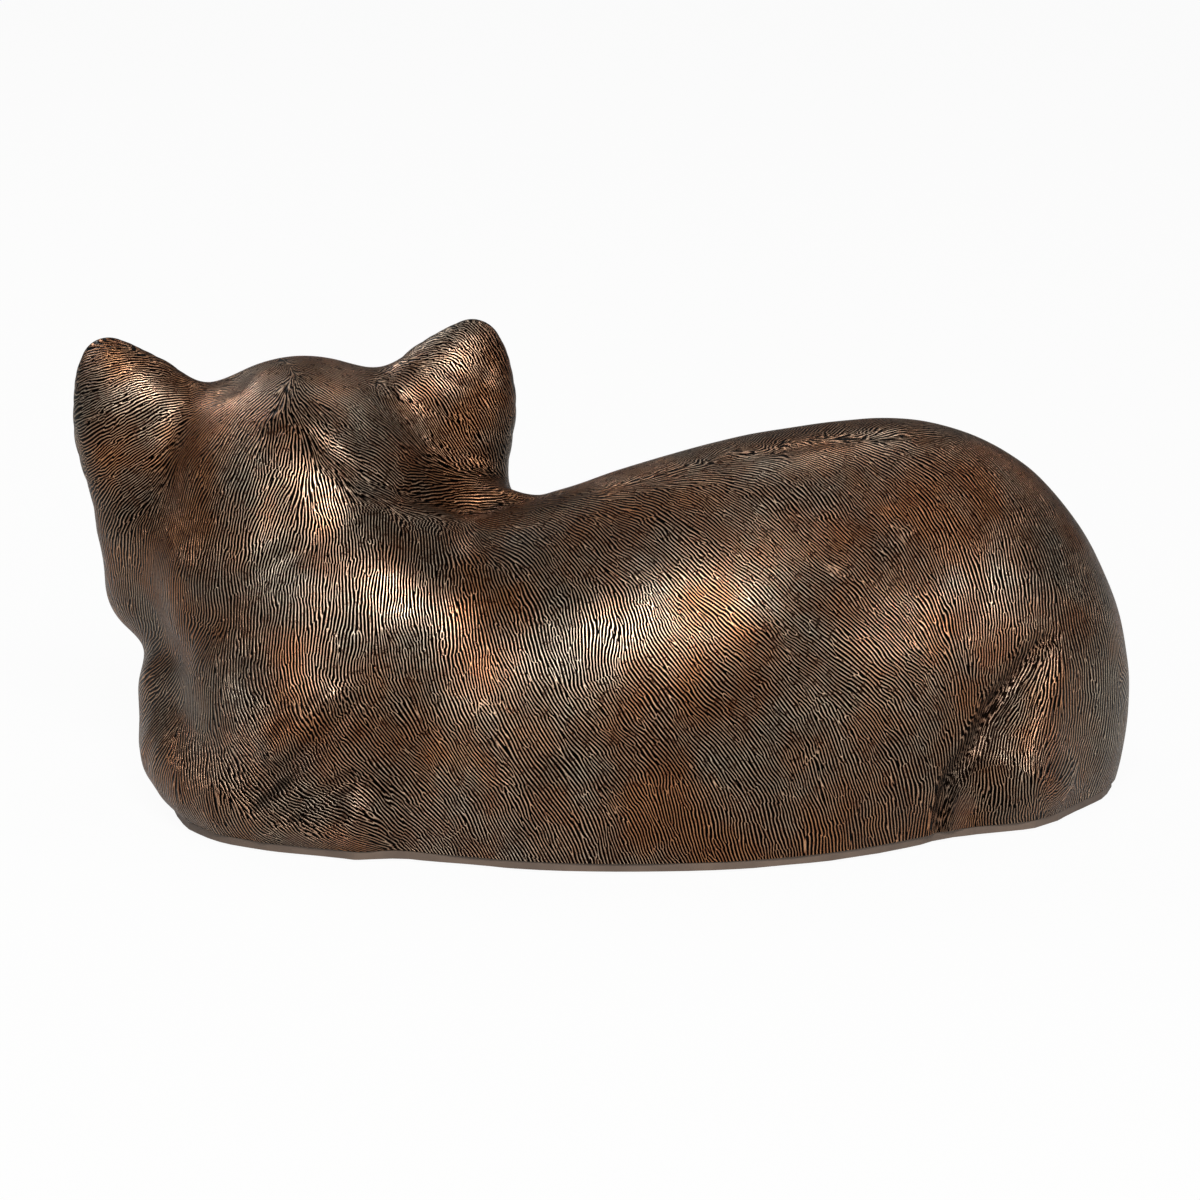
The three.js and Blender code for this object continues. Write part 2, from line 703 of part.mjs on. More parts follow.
// A straight-sided solid whose outline follows a field at one height. The net's rows stand below
// the bottom and above the top, so that each wall is one facet high.
function prism(field, height, bottom, top) {
  const tall = (top - bottom) * 2;
  const middle = (bottom + top) / 2;
  const upright = (x, y, z) => Math.max(field(x, y, height), Math.abs(z - middle) - tall * 1.5);
  const low = [bodyLow[0], bodyLow[1], middle - tall * 2];
  const high = [bodyHigh[0], bodyHigh[1], middle + tall * 2];
  return netSolid(net(upright, low, high, PLATE_FACET, tall)).intersect(slab(bottom, top));
}

function basePlate() {
  const rim = (x, y, z) => cat(x, y, z) + PLATE_INSET;
  const lipOut = (x, y, z) => room(x, y, z) + WALL + LIP_CLEARANCE;
  const lipIn = (x, y, z) => lipOut(x, y, z) + LIP_WIDTH;
  const hole = new THREE.CylinderGeometry(VENT_DIAMETER / 2, VENT_DIAMETER / 2, CUT_REACH, ROUND_SIDES);
  hole.rotateX(Math.PI / 2);
  hole.translate(vent_place_share[0] * BODY_LENGTH, vent_place_share[1] * BODY_DEPTH, 0);
  const lip = prism(lipOut, CASTING_BOTTOM, PLATE_TOP - GAP, PLATE_TOP + LIP_HEIGHT).subtract(
    prism(lipIn, CASTING_BOTTOM, PLATE_BOTTOM, PLATE_TOP + LIP_HEIGHT * 2),
  );
  return prism(rim, CASTING_BOTTOM, PLATE_BOTTOM, PLATE_TOP).add(lip).subtract(geometrySolid(hole));
}

// The plug: a flat head under the plate, a stem in the vent and a bead that holds above it
function ventPlug() {
  const stem = VENT_DIAMETER / 2 - GAP;
  const beadBottom = PLATE_TOP + GAP;
  const beadTop = beadBottom + PLUG_BEAD_HEIGHT;
  const profile = [
    [0, PLATE_BOTTOM - PLUG_HEAD_THICKNESS],
    [PLUG_HEAD_DIAMETER / 2, PLATE_BOTTOM - PLUG_HEAD_THICKNESS],
    [PLUG_HEAD_DIAMETER / 2, PLATE_BOTTOM],
    [stem, PLATE_BOTTOM],
    [stem, beadBottom],
    [PLUG_BEAD_DIAMETER / 2, beadBottom + PLUG_BEAD_HEIGHT / 3],
    [PLUG_BEAD_DIAMETER / 2, beadTop - PLUG_BEAD_HEIGHT / 3],
    [PLUG_TIP_DIAMETER / 2, beadTop + PLUG_TIP_HEIGHT],
    [0, beadTop + PLUG_TIP_HEIGHT],
  ];
  const geometry = new THREE.LatheGeometry(profile.map(([r, z]) => new THREE.Vector2(r, z)), ROUND_SIDES);
  geometry.rotateX(Math.PI / 2);
  return named('vent_plug', geometry, COLOURS.rubber, 0.8, 0);
}

function pad(number, [x, y]) {
  const geometry = new THREE.CylinderGeometry(PAD_DIAMETER / 2, PAD_DIAMETER / 2, PAD_HEIGHT, ROUND_SIDES);
  geometry.rotateX(Math.PI / 2);
  geometry.translate(0, 0, PAD_HEIGHT / 2);
  const mesh = named(`pad_${number}`, geometry, COLOURS.rubber, 0.8, 0);
  mesh.position.set(x * BODY_LENGTH, y * BODY_DEPTH, 0);
  return mesh;
}

const figure = new THREE.Group();
figure.add(meshOf('body_casting', bodyCasting(), COLOURS.bronze, 0.45, 0.35));
figure.add(meshOf('head_casting', headCasting(), COLOURS.bronze, 0.45, 0.35));
figure.add(meshOf('base_plate', basePlate(), COLOURS.plate, 0.6, 0.2));
const plug = ventPlug();
plug.position.set(vent_place_share[0] * BODY_LENGTH, vent_place_share[1] * BODY_DEPTH, 0);
figure.add(plug);
pad_place_shares.forEach((place, i) => figure.add(pad(i + 1, place)));

// The middle of the figure's box stands over the origin
const box = new THREE.Box3().setFromObject(figure);
const middle = box.getCenter(new THREE.Vector3());
figure.position.set(-middle.x, -middle.y, 0);

const statue = new THREE.Group();
statue.add(figure);

export default statue;
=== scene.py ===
# Lying cat in cast resin, painted as aged bronze over a cut coat, on a pale studio floor.
import math
import bpy
import numpy as np
from mathutils import Matrix, Vector


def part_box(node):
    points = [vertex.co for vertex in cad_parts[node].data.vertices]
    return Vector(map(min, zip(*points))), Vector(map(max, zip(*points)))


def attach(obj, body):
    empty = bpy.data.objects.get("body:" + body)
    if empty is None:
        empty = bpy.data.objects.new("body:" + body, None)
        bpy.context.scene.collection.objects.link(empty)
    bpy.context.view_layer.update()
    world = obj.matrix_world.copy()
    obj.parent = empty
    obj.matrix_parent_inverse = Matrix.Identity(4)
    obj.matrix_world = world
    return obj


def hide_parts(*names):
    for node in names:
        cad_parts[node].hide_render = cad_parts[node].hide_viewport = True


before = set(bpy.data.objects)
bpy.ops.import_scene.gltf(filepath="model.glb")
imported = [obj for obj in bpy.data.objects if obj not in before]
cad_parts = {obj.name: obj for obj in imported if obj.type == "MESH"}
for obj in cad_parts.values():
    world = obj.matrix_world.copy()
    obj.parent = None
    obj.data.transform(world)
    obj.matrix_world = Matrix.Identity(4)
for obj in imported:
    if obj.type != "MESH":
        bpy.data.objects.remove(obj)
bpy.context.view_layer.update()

MM = 0.001
single = np.float32

# Sizes of the figure in millimetres: the same masses as the castings
BODY_LENGTH = 400
BODY_DEPTH = 200
BACK_HEIGHT = 150
HEAD_WIDTH = 150
SOFT, FIRM, TIGHT, LIP, NOSE, EYE, NECK = 22, 12, 6, 5, 3, 1.5, 13
WALL = 5
GAP = 0.3
SPIGOT_WALL = 4
SPIGOT_LENGTH = 14
CASTING_BOTTOM = 4.3

BODY_CELL = 1.5
HEAD_CELL = 1.1
ROOM_CELL = 9.0
SEAM_CELL = 6.0

# Masses: blend, then an egg (middle, half sizes, turn) or a run of places with radius, in shares
# of the body's length, depth and back height.
TRUNK = [
    (SOFT, (0.02, -0.09, 0.093), (0.31, 0.385, 0.735), (0, 0, 0)),
    (SOFT, (0.13, -0.065, 0.19), (0.225, 0.33, 0.75), (0, 0, 0)),
    (SOFT, (0.2595, 0.012, 0.235), (0.2475, 0.3, 0.745), (10, 0, 0)),
    (SOFT, (-0.195, -0.095, 0.16), (0.2, 0.27, 0.533), (0, 0, 0)),
]
NECK_MASSES = [
    (SOFT, [(-0.28, 0.03, 0.64, 0.307), (-0.25, -0.06, 0.4, 0.36)]),
    (SOFT, (-0.292, -0.06, 0.61), (0.125, 0.19, 0.25), (0, 0, 0)),
    (SOFT, [(-0.265, -0.03, 0.747, 0.227), (-0.14, 0, 0.54, 0.2)]),
    (FIRM, (-0.3, 0.1, 0.28), (0.105, 0.17, 0.26), (0, 0, 0)),
]
SHOULDERS = [
    (SOFT, (-0.205, -0.17, 0.48), (0.09, 0.15, 0.28), (-10, 0, 0)),
    (SOFT, (-0.255, -0.22, 0.27), (0.1, 0.15, 0.23), (-10, 0, 0)),
    (FIRM, (-0.357, 0.02, 0.27), (0.085, 0.17, 0.2), (0, 0, 0)),
    (FIRM, (-0.19, 0.13, 0.33), (0.085, 0.13, 0.29), (10, 0, 0)),
    (TIGHT, (-0.115, -0.03, 0.72), (0.065, 0.06, 0.103), (0, 0, 0)),
]
FORELEGS = [
    (TIGHT, [(-0.22, -0.345, 0.1, 0.11), (-0.33, -0.24, 0.12, 0.145), (-0.38, -0.08, 0.155, 0.15),
             (-0.382, 0.06, 0.17, 0.145)]),
    (TIGHT, [(-0.382, 0.05, 0.16, 0.14), (-0.378, 0.26, 0.12, 0.115), (-0.368, 0.38, 0.107, 0.107)]),
    (TIGHT, [(-0.185, 0.18, 0.16, 0.145), (-0.228, 0.31, 0.12, 0.115), (-0.245, 0.4, 0.107, 0.107)]),
]
HIND_LEGS = [
    (TIGHT, (0.24, 0.2, 0.33), (0.145, 0.165, 0.33), (-6, 10, 0)),
    (TIGHT, [(0.13, 0.31, 0.15, 0.125), (0.25, 0.33, 0.12, 0.12)]),
    (TIGHT, [(0.31, 0.36, 0.1, 0.1), (0.2, 0.375, 0.09, 0.092), (0.11, 0.38, 0.085, 0.087)]),
    (TIGHT, (0.375, 0.24, 0.05), (0.075, 0.16, 0.14), (0, 0, 0)),
]
TAIL = [
    (FIRM, [(0.412, -0.07, 0.42, 0.05), (0.375, -0.125, 0.14, 0.185)]),
    (TIGHT, [(0.37, -0.12, 0.12, 0.16), (0.425, 0, 0.13, 0.13), (0.452, 0.17, 0.13, 0.125),
             (0.42, 0.34, 0.12, 0.12), (0.33, 0.425, 0.105, 0.108), (0.24, 0.437, 0.098, 0.1),
             (0.18, 0.43, 0.09, 0.085)]),
]

# Paws: place, turn, spread, toe length, toe radius, in the same shares
PAWS = [
    ((-0.367, 0.455, 0.072), -2, 0.24, 0.08, 0.048),
    ((-0.252, 0.465, 0.072), 8, 0.24, 0.08, 0.048),
    ((0.075, 0.38, 0.07), 90, 0.22, 0.07, 0.044),
]

# Folds cut by the modeller, and rolls raised where the depth is below zero: places, depth and half
# width in millimetres
FOLDS = [
    ([(0.42, -0.15, 0.475), (0.404, -0.169, 0.462), (0.377, -0.201, 0.392), (0.355, -0.23, 0.327),
      (0.336, -0.25, 0.242), (0.321, -0.297, 0.167), (0.315, -0.304, 0.105), (0.313, -0.302, 0.03),
      (0.312, -0.29, -0.09)], 3.4, 3.2),
    ([(-0.217, -0.387, 0.414), (-0.262, -0.394, 0.296), (-0.298, -0.373, 0.2), (-0.329, -0.362, 0.115)], 2.4, 3.4),
    ([(-0.212, -0.402, 0.243), (-0.26, -0.399, 0.162), (-0.305, -0.378, 0.081)], 2.2, 3.2),
    ([(-0.227, -0.412, 0.166), (-0.272, -0.398, 0.08)], 1.2, 4),
    ([(-0.235, -0.385, 0.44), (-0.275, -0.385, 0.34), (-0.315, -0.36, 0.23)], -1.8, 5),
    ([(0.432, -0.13, 0.42), (0.412, -0.2, 0.3), (0.392, -0.25, 0.18), (0.38, -0.27, 0.06)], -2.2, 11),
    ([(-0.426, -0.052, 0.355), (-0.377, -0.211, 0.497), (-0.318, -0.263, 0.662), (-0.256, -0.259, 0.759)], 1.6, 7),
    ([(-0.27, -0.13, 1), (-0.25, -0.15, 0.933), (-0.225, -0.16, 0.887), (-0.195, -0.15, 0.847)], 1.3, 5),
    ([(-0.195, -0.15, 0.847), (-0.165, -0.12, 0.807), (-0.138, -0.09, 0.78), (-0.105, -0.065, 0.773),
      (-0.075, -0.05, 0.78)], 3, 4.5),
    ([(-0.35, -0.02, 1.06), (-0.335, 0.06, 1.09)], 2, 7),
    ([(-0.038, -0.121, 0.819), (0.094, -0.149, 0.91), (0.206, -0.085, 0.957), (0.312, -0.029, 0.948)], 0.7, 3),
]

# Toes: how far the outer ones stand back as a share of the spread, the root's height and share of the
# toe's radius, and how far back and how high the tip's middle is
TOE_BACK = 0.07
TOE_ROOT_HEIGHT, TOE_ROOT_RADIUS = 0.02, 0.9
TOE_TIP_BACK, TOE_TIP_HEIGHT = 0.013, 0.0067
TOE_BLEND = 2
CLEFT_DEPTH, CLEFT_WIDTH = 2, 1.6
# Widths by which a fold's ends lie off the surface
FADE = 1.3

# Past these distances in millimetres a paw or a fold changes nothing
PAW_REACH, FOLD_REACH = 60, 25
# The soft unevenness of hand modelling: how far it is set in, and the swells' height, length and seed
SKIN_INSET = 0.45
SWELLS = [(0.6, 34, 1), (0.2, 13, 2)]

# The head in its own frame, in shares of its width, and its seat on the body
HEAD_PLACE = (-0.285, 0.075, 0.747)
HEAD_LEAN = -3
SKULL = [
    (SOFT, (0.01, -0.027, 0.05), (0.345, 0.335, 0.323), (0, 0, 0)),
    (FIRM, (0, 0.15, 0.08), (0.295, 0.22, 0.19), (0, 0, 0)),
    (FIRM, (-0.28, 0.055, -0.09), (0.225, 0.25, 0.23), (0, 0, 0)),
    (FIRM, (0.28, 0.055, -0.09), (0.225, 0.25, 0.23), (0, 0, 0)),
    (FIRM, (-0.32, 0.065, -0.225), (0.195, 0.2, 0.155), (0, 0, 0)),
    (FIRM, (0.32, 0.065, -0.225), (0.195, 0.2, 0.155), (0, 0, 0)),
    (FIRM, (0, 0.23, -0.155), (0.26, 0.21, 0.16), (0, 0, 0)),
]
FACE = [
    (FIRM, [(0, 0.27, 0.075, 0.085), (0, 0.385, 0.015, 0.062), (0, 0.475, -0.045, 0.047)]),
    (FIRM, (-0.235, 0.255, -0.055), (0.135, 0.135, 0.1), (-20, 0, 0)),
    (FIRM, (0.235, 0.255, -0.055), (0.135, 0.135, 0.1), (20, 0, 0)),
    (LIP, (-0.083, 0.405, -0.125), (0.105, 0.118, 0.083), (14, 0, 0)),
    (LIP, (0.083, 0.405, -0.125), (0.105, 0.118, 0.083), (-14, 0, 0)),
    (LIP, (0, 0.4, -0.215), (0.087, 0.093, 0.06), (0, 0, 0)),
    (NOSE, (0, 0.507, -0.062), (0.055, 0.035, 0.037), (0, 0, -20)),
    (FIRM, [(-0.08, 0.325, 0.125, 0.04), (-0.185, 0.3, 0.135, 0.042), (-0.28, 0.225, 0.085, 0.04)]),
    (FIRM, [(0.08, 0.325, 0.125, 0.04), (0.185, 0.3, 0.135, 0.042), (0.28, 0.225, 0.085, 0.04)]),
]
SOCKETS = [
    (TIGHT, (-0.17, 0.395, 0.04), (0.088, 0.1, 0.062), (26, -12, 0)),
    (TIGHT, (0.17, 0.395, 0.04), (0.088, 0.1, 0.062), (-26, 12, 0)),
]
EYES = [
    (EYE, (-0.165, 0.3, 0.04), (0.083, 0.083, 0.078), (0, 0, 0)),
    (EYE, (0.165, 0.3, 0.04), (0.083, 0.083, 0.078), (0, 0, 0)),
]
# Each eye's lids are a shell on the ball with an almond-shaped opening: the eye's place, the ball's
# radius, how far it looks outward and how far its outer corner is raised, and the opening's half sizes
EYE_PLACE = (24.75, 45, 6)
EYE_RADIUS = 12.2
EYE_TURN = (-20, -12)
EYE_OPENING = (10.8, 5.4, 3.8)
LID_THICKNESS = 2.3
LID_SLOPE, LID_EDGE, LID_BLEND = 0.75, 0.8, 1.5
PUPIL_HALF_HEIGHT, PUPIL_DEPTH, PUPIL_WIDTH = 3.5, 0.7, 1.1
FACE_BOX = ((-45, 25, -45), (45, 100, 35))
# Lines cut in both halves of the face, in millimetres in the head's own frame: places, depth, half width
FACE_LINES = [
    ([(0, 80, -14), (0, 78, -21), (4, 77, -25.5), (12, 74, -28.5), (20, 67, -28.5), (27, 57, -26)], 1.8, 1.4),
    ([(2.6, 82, -11.5), (4.6, 81, -9.2), (6.8, 78.5, -9.6)], 1.8, 1.2),
    ([(13.5, 56, 1), (10.5, 62, -3.5)], 1.2, 1.8),
    ([(15, 74, -13), (22, 68, -15), (28, 60, -16)], 0.6, 1.6),
    ([(14, 75, -19), (21, 69, -21), (27, 61, -21.5)], 0.6, 1.6),
]
EAR = [(0.305, 0, 0.045, 0.222), (0.375, 0, 0.2, 0.185), (0.432, 0.013, 0.312, 0.12),
       (0.456, 0.027, 0.368, 0.078)]
EAR_SCOOP = [(0.32, 0.215, 0.05, 0.155), (0.375, 0.195, 0.185, 0.138), (0.432, 0.135, 0.31, 0.075),
             (0.45, 0.115, 0.36, 0.04)]
EAR_FLAT = 0.6
EAR_STEP = 0.72

# Where the coat is combed: place and direction of the hair, in millimetres on the figure
COMBED = [
    (-190, 14, 172, -0.92, 0.34, -0.18), (-183, 8, 167, -0.99, 0.06, -0.09), (-186, 4, 158, -0.88, 0.15, -0.45),
    (-177, -1, 146, -0.85, 0.01, -0.53), (-158, 2, 153, -0.97, -0.16, -0.17), (-164, -3, 140, -0.8, 0.01, -0.6),
    (-150, -15, 143, -0.63, 0.06, -0.77), (-174, -4, 127, -0.73, 0.13, -0.67), (-187, 1, 132, -0.76, 0.37, -0.53),
    (-184, 0, 116, -0.54, 0.36, -0.76), (-187, 2, 105, -0.3, 0.33, -0.89), (-165, 14, 167, -0.9, -0.16, 0.41),
    (-143, 4, 159, -0.77, 0.6, -0.22), (-130, -17, 156, -0.72, -0.39, -0.57), (-125, -2, 165, -0.74, -0.59, -0.33),
    (-136, -28, 143, -0.49, -0.34, -0.8), (-146, -27, 133, -0.5, -0.08, -0.86), (-156, -22, 122, -0.2, -0.32, -0.93),
    (-136, -37, 129, -0.3, -0.3, -0.91), (-120, -42, 130, -0.39, -0.35, -0.85), (-115, -32, 147, -0.15, -0.64, -0.75),
    (-110, -40, 136, -0.18, -0.5, -0.85), (-170, -13, 103, -0.11, -0.19, -0.98), (-149, -38, 109, -0.14, -0.33, -0.93),
    (-122, -49, 112, -0.3, -0.3, -0.91), (-185, 1, 96, 0.05, 0.15, -0.99), (-108, 4, 167, 0.82, -0.55, -0.14),
    (-99, 9, 166, 0.96, -0.09, -0.25), (-89, 3, 162, 0.9, -0.23, -0.38), (-82, 6, 162, 0.72, 0.63, 0.3),
    (-65, 8, 172, 0.96, -0.15, 0.24), (-74, 3, 159, 0.78, -0.42, -0.46), (-81, -1, 158, 0.36, -0.72, -0.59),
    (-67, -3, 148, 0.5, -0.22, -0.84), (-58, 1, 160, 0.54, -0.28, -0.79), (-46, 6, 168, 0.45, -0.22, -0.87),
    (-55, -2, 141, 0.58, 0.02, -0.81), (-43, 3, 156, 0.39, 0, -0.92), (-40, 3, 134, 0.25, 0.28, -0.93),
    (-76, -15, 145, 0.71, 0.12, -0.69), (-95, -16, 157, 0.79, -0.33, -0.52), (-106, -25, 153, 0.67, -0.51, -0.54),
    (-94, -30, 145, 0.86, -0.06, -0.51), (-100, -36, 140, 0.75, -0.24, -0.62), (-82, -28, 138, 0.81, 0.21, -0.55),
    (-85, -36, 131, 0.84, 0.09, -0.54), (-69, -33, 123, 0.87, 0.4, -0.3), (-58, -24, 119, 0.73, 0.66, -0.18),
    (-58, -17, 123, 0.75, 0.62, -0.24), (-64, -22, 125, 0.56, 0.83, -0.01), (-46, -7, 120, 0.87, 0.43, -0.25),
    (-109, -35, 143, 0.11, -0.6, -0.79), (-99, -42, 131, 0.16, -0.46, -0.87), (-81, -46, 119, -0.05, -0.77, -0.63),
    (-63, -43, 114, 0.02, -0.84, -0.54), (-51, -37, 112, 0.39, -0.81, -0.44), (-39, -32, 114, 0.65, -0.76, -0.09),
    (-30, -49, 109, 0.7, -0.68, -0.23), (-30, -31, 117, 0.66, -0.75, -0.01), (-181, -1, 85, 0.05, 0.14, -0.99),
    (-164, -26, 84, 0.04, 0.23, -0.97), (-147, -45, 93, -0.01, -0.19, -0.98), (-151, -42, 73, -0.28, 0.39, -0.88),
    (-124, -62, 79, -0.04, -0.45, -0.89), (-101, -66, 88, -0.09, -0.44, -0.89), (-86, -66, 92, 0.01, -0.43, -0.9),
    (-93, -73, 75, -0.15, -0.35, -0.93), (-75, -73, 74, 0.2, -0.3, -0.93), (-131, -64, 64, 0.11, -0.42, -0.9),
    (-127, -70, 50, 0.5, -0.4, -0.77), (-120, -74, 48, 0.6, -0.32, -0.73), (-131, -69, 31, 0.41, -0.42, -0.81),
    (-128, -73, 24, 0.69, -0.49, -0.54), (-120, -74, 36, 0.49, -0.12, -0.87), (-108, -78, 45, 0.44, -0.14, -0.89),
    (-101, -77, 60, 0.41, -0.28, -0.87), (-97, -80, 42, 0.58, -0.06, -0.81), (-109, -78, 33, 0.48, -0.07, -0.88),
    (-101, -81, 22, 0.9, -0.31, -0.31), (-109, -79, 25, 0.79, -0.34, -0.5), (-82, -80, 50, 0.59, -0.08, -0.81),
    (-78, -76, 64, 0.4, -0.21, -0.89), (-71, -78, 53, 0.59, -0.13, -0.79), (-75, -81, 34, 0.7, -0.08, -0.71),
    (-71, -81, 19, 0.71, -0.23, -0.67), (-147, -52, 52, -0.06, -0.18, -0.98), (-156, -47, 35, -0.05, -0.71, -0.71),
    (-151, -59, 23, 0.11, -0.36, -0.93), (-140, -68, 14, 0.26, 0.06, -0.96), (-173, -10, 48, -0.5, 0.6, -0.63),
    (-169, -21, 43, -0.63, 0.5, -0.6), (-165, -34, 35, -0.6, 0, -0.8), (-167, -37, 28, -0.45, 0.33, -0.83),
    (-163, -45, 22, -0.21, 0.2, -0.96), (-6, -36, 123, 0.73, -0.68, -0.06), (-22, -41, 116, 0.68, -0.71, -0.16),
    (-6, -51, 114, 0.61, -0.7, -0.36), (10, -51, 118, 0.68, -0.65, -0.35), (18, -40, 127, 0.78, -0.6, -0.15),
    (42, -44, 128, 0.78, -0.52, -0.34), (49, -54, 119, 0.77, -0.41, -0.49), (33, -57, 116, 0.75, -0.47, -0.46),
    (65, -47, 125, 0.71, -0.44, -0.54), (82, -42, 128, 0.61, -0.48, -0.63), (50, -32, 137, 0.9, -0.41, -0.14),
    (82, -24, 141, 0.93, -0.29, -0.23), (10, -32, 129, 0.94, -0.29, 0.18), (38, -31, 136, 0.99, -0.09, 0.13),
    (10, -21, 132, 0.78, 0.54, 0.33), (38, -19, 140, 0.51, 0.82, 0.24), (62, -10, 144, 0.38, 0.92, 0.09),
    (83, -4, 146, 0.42, 0.91, 0.07), (103, -4, 146, 0.65, 0.75, 0.11), (125, -3, 143, 0.91, 0.36, -0.19),
    (102, -22, 138, 0.89, -0.27, -0.37), (99, -27, 136, 0.7, -0.48, -0.53), (124, -15, 138, 0.87, -0.2, -0.44),
    (139, -9, 135, 0.73, -0.37, -0.58), (154, 1, 129, 0.74, -0.25, -0.62), (109, -39, 121, 0.59, -0.34, -0.73),
    (123, -34, 119, 0.54, -0.32, -0.77), (138, -23, 124, 0.59, -0.31, -0.74), (94, -52, 110, 0.75, -0.14, -0.64),
    (116, -48, 101, 0.45, -0.24, -0.86), (130, -42, 100, 0.3, -0.29, -0.91), (145, -36, 98, 0.2, -0.31, -0.93),
    (168, -7, 112, 0.49, -0.31, -0.82), (175, -15, 92, 0.3, -0.24, -0.92), (190, 1, 80, 0.24, -0.33, -0.91),
    (94, -59, 97, 0.65, -0.14, -0.75), (108, -57, 90, 0.65, -0.04, -0.76), (130, -49, 83, 0.1, -0.28, -0.95),
    (159, -34, 79, 0.1, -0.22, -0.97), (125, -53, 80, 0.45, -0.07, -0.89), (138, -47, 75, 0.16, -0.19, -0.97),
    (150, -42, 70, -0.09, -0.14, -0.99), (148, -42, 60, -0.07, 0.02, -1), (115, -61, 69, 0.71, 0.17, -0.68),
    (125, -57, 65, 0.41, 0, -0.91), (119, -62, 60, 0.66, 0.19, -0.72), (131, -56, 55, 0.11, -0.11, -0.99),
    (122, -62, 47, 0.3, 0.04, -0.95), (131, -57, 39, 0.02, -0, -1), (112, -67, 49, 0.57, 0.16, -0.81),
    (116, -67, 36, 0.3, 0.09, -0.95), (128, -60, 28, 0.12, 0.07, -0.99), (119, -65, 16, 0.02, 0.07, -1),
    (157, -40, 56, -0.5, -0.52, -0.7), (151, -45, 48, -0.56, -0.41, -0.72), (165, -38, 49, -0.1, -0.32, -0.94),
    (173, -32, 48, 0.11, -0.11, -0.99), (160, -44, 38, -0.31, -0.47, -0.82), (144, -52, 35, -0.21, -0.42, -0.88),
    (141, -55, 26, 0.02, -0.08, -1), (133, -56, 16, -0.43, -0.13, -0.89), (154, -53, 22, 0.02, -0.02, -1),
    (170, -42, 25, -0.31, -0.64, -0.7), (173, -40, 18, -0.37, -0.8, -0.47), (180, -23, 64, 0.11, -0.12, -0.99),
    (191, -13, 48, 0.04, -0.09, -0.99), (195, -6, 26, -0.06, 0.02, -1), (188, -15, 16, -0.35, -0.3, -0.89),
    (178, -28, 7, -0.19, 0.31, -0.93), (157, -49, 7, 0.06, 0.45, -0.89), (145, -52, 9, 0.05, 0.32, -0.95),
    (-1, -77, 84, -0.05, -0.48, -0.88), (13, -73, 94, 0.34, -0.53, -0.78), (27, -80, 82, 0.6, -0.33, -0.73),
    (13, -87, 63, 0.6, -0.25, -0.76), (40, -73, 94, 0.7, -0.32, -0.64), (54, -78, 81, 0.75, -0.15, -0.64),
    (47, -86, 62, 0.75, -0.09, -0.66), (75, -68, 93, 0.75, -0.12, -0.65), (82, -74, 73, 0.74, 0.01, -0.67),
    (103, -68, 64, 0.81, 0.22, -0.55), (109, -69, 50, 0.57, 0.15, -0.81), (-1, -91, 49, 0.71, -0.2, -0.68),
    (27, -91, 49, 0.6, -0.14, -0.79), (54, -88, 48, 0.59, -0.05, -0.8), (82, -81, 46, 0.4, -0.02, -0.92),
    (-1, -94, 28, 0.49, -0.1, -0.87), (27, -94, 21, 0.29, -0.02, -0.96), (54, -91, 20, 0.24, 0.03, -0.97),
    (82, -83, 25, 0.25, 0.05, -0.97), (97, -77, 15, 0.2, 0.13, -0.97), (-67, -56, 105, -0.07, -0.67, -0.74),
    (-41, -57, 99, 0.18, -0.73, -0.66), (-54, -69, 82, 0.1, -0.46, -0.88), (-28, -73, 83, 0.29, -0.55, -0.78),
    (-15, -52, 111, 0.48, -0.76, -0.44), (-9, -73, 90, 0.24, -0.56, -0.79), (-87, -58, 106, -0.08, -0.56, -0.82),
    (-100, -66, 88, -0.14, -0.42, -0.9), (-62, -76, 61, 0.41, -0.27, -0.87), (-44, -85, 41, 0.65, -0.29, -0.7),
    (-37, -90, 20, 0.49, -0.15, -0.86), (-55, -75, 68, 0.25, -0.38, -0.89), (-29, -85, 56, 0.5, -0.35, -0.79),
    (-15, -92, 36, 0.6, -0.18, -0.78), (14, -61, 110, 0.69, -0.55, -0.48), (36, -66, 105, 0.73, -0.4, -0.56),
    (61, -63, 106, 0.75, -0.28, -0.61), (7, -95, 10, 0.29, 0.02, -0.96), (-44, -88, 9, 0.39, -0.07, -0.92),
    (-92, -85, 12, 0.85, -0.11, -0.52),
]

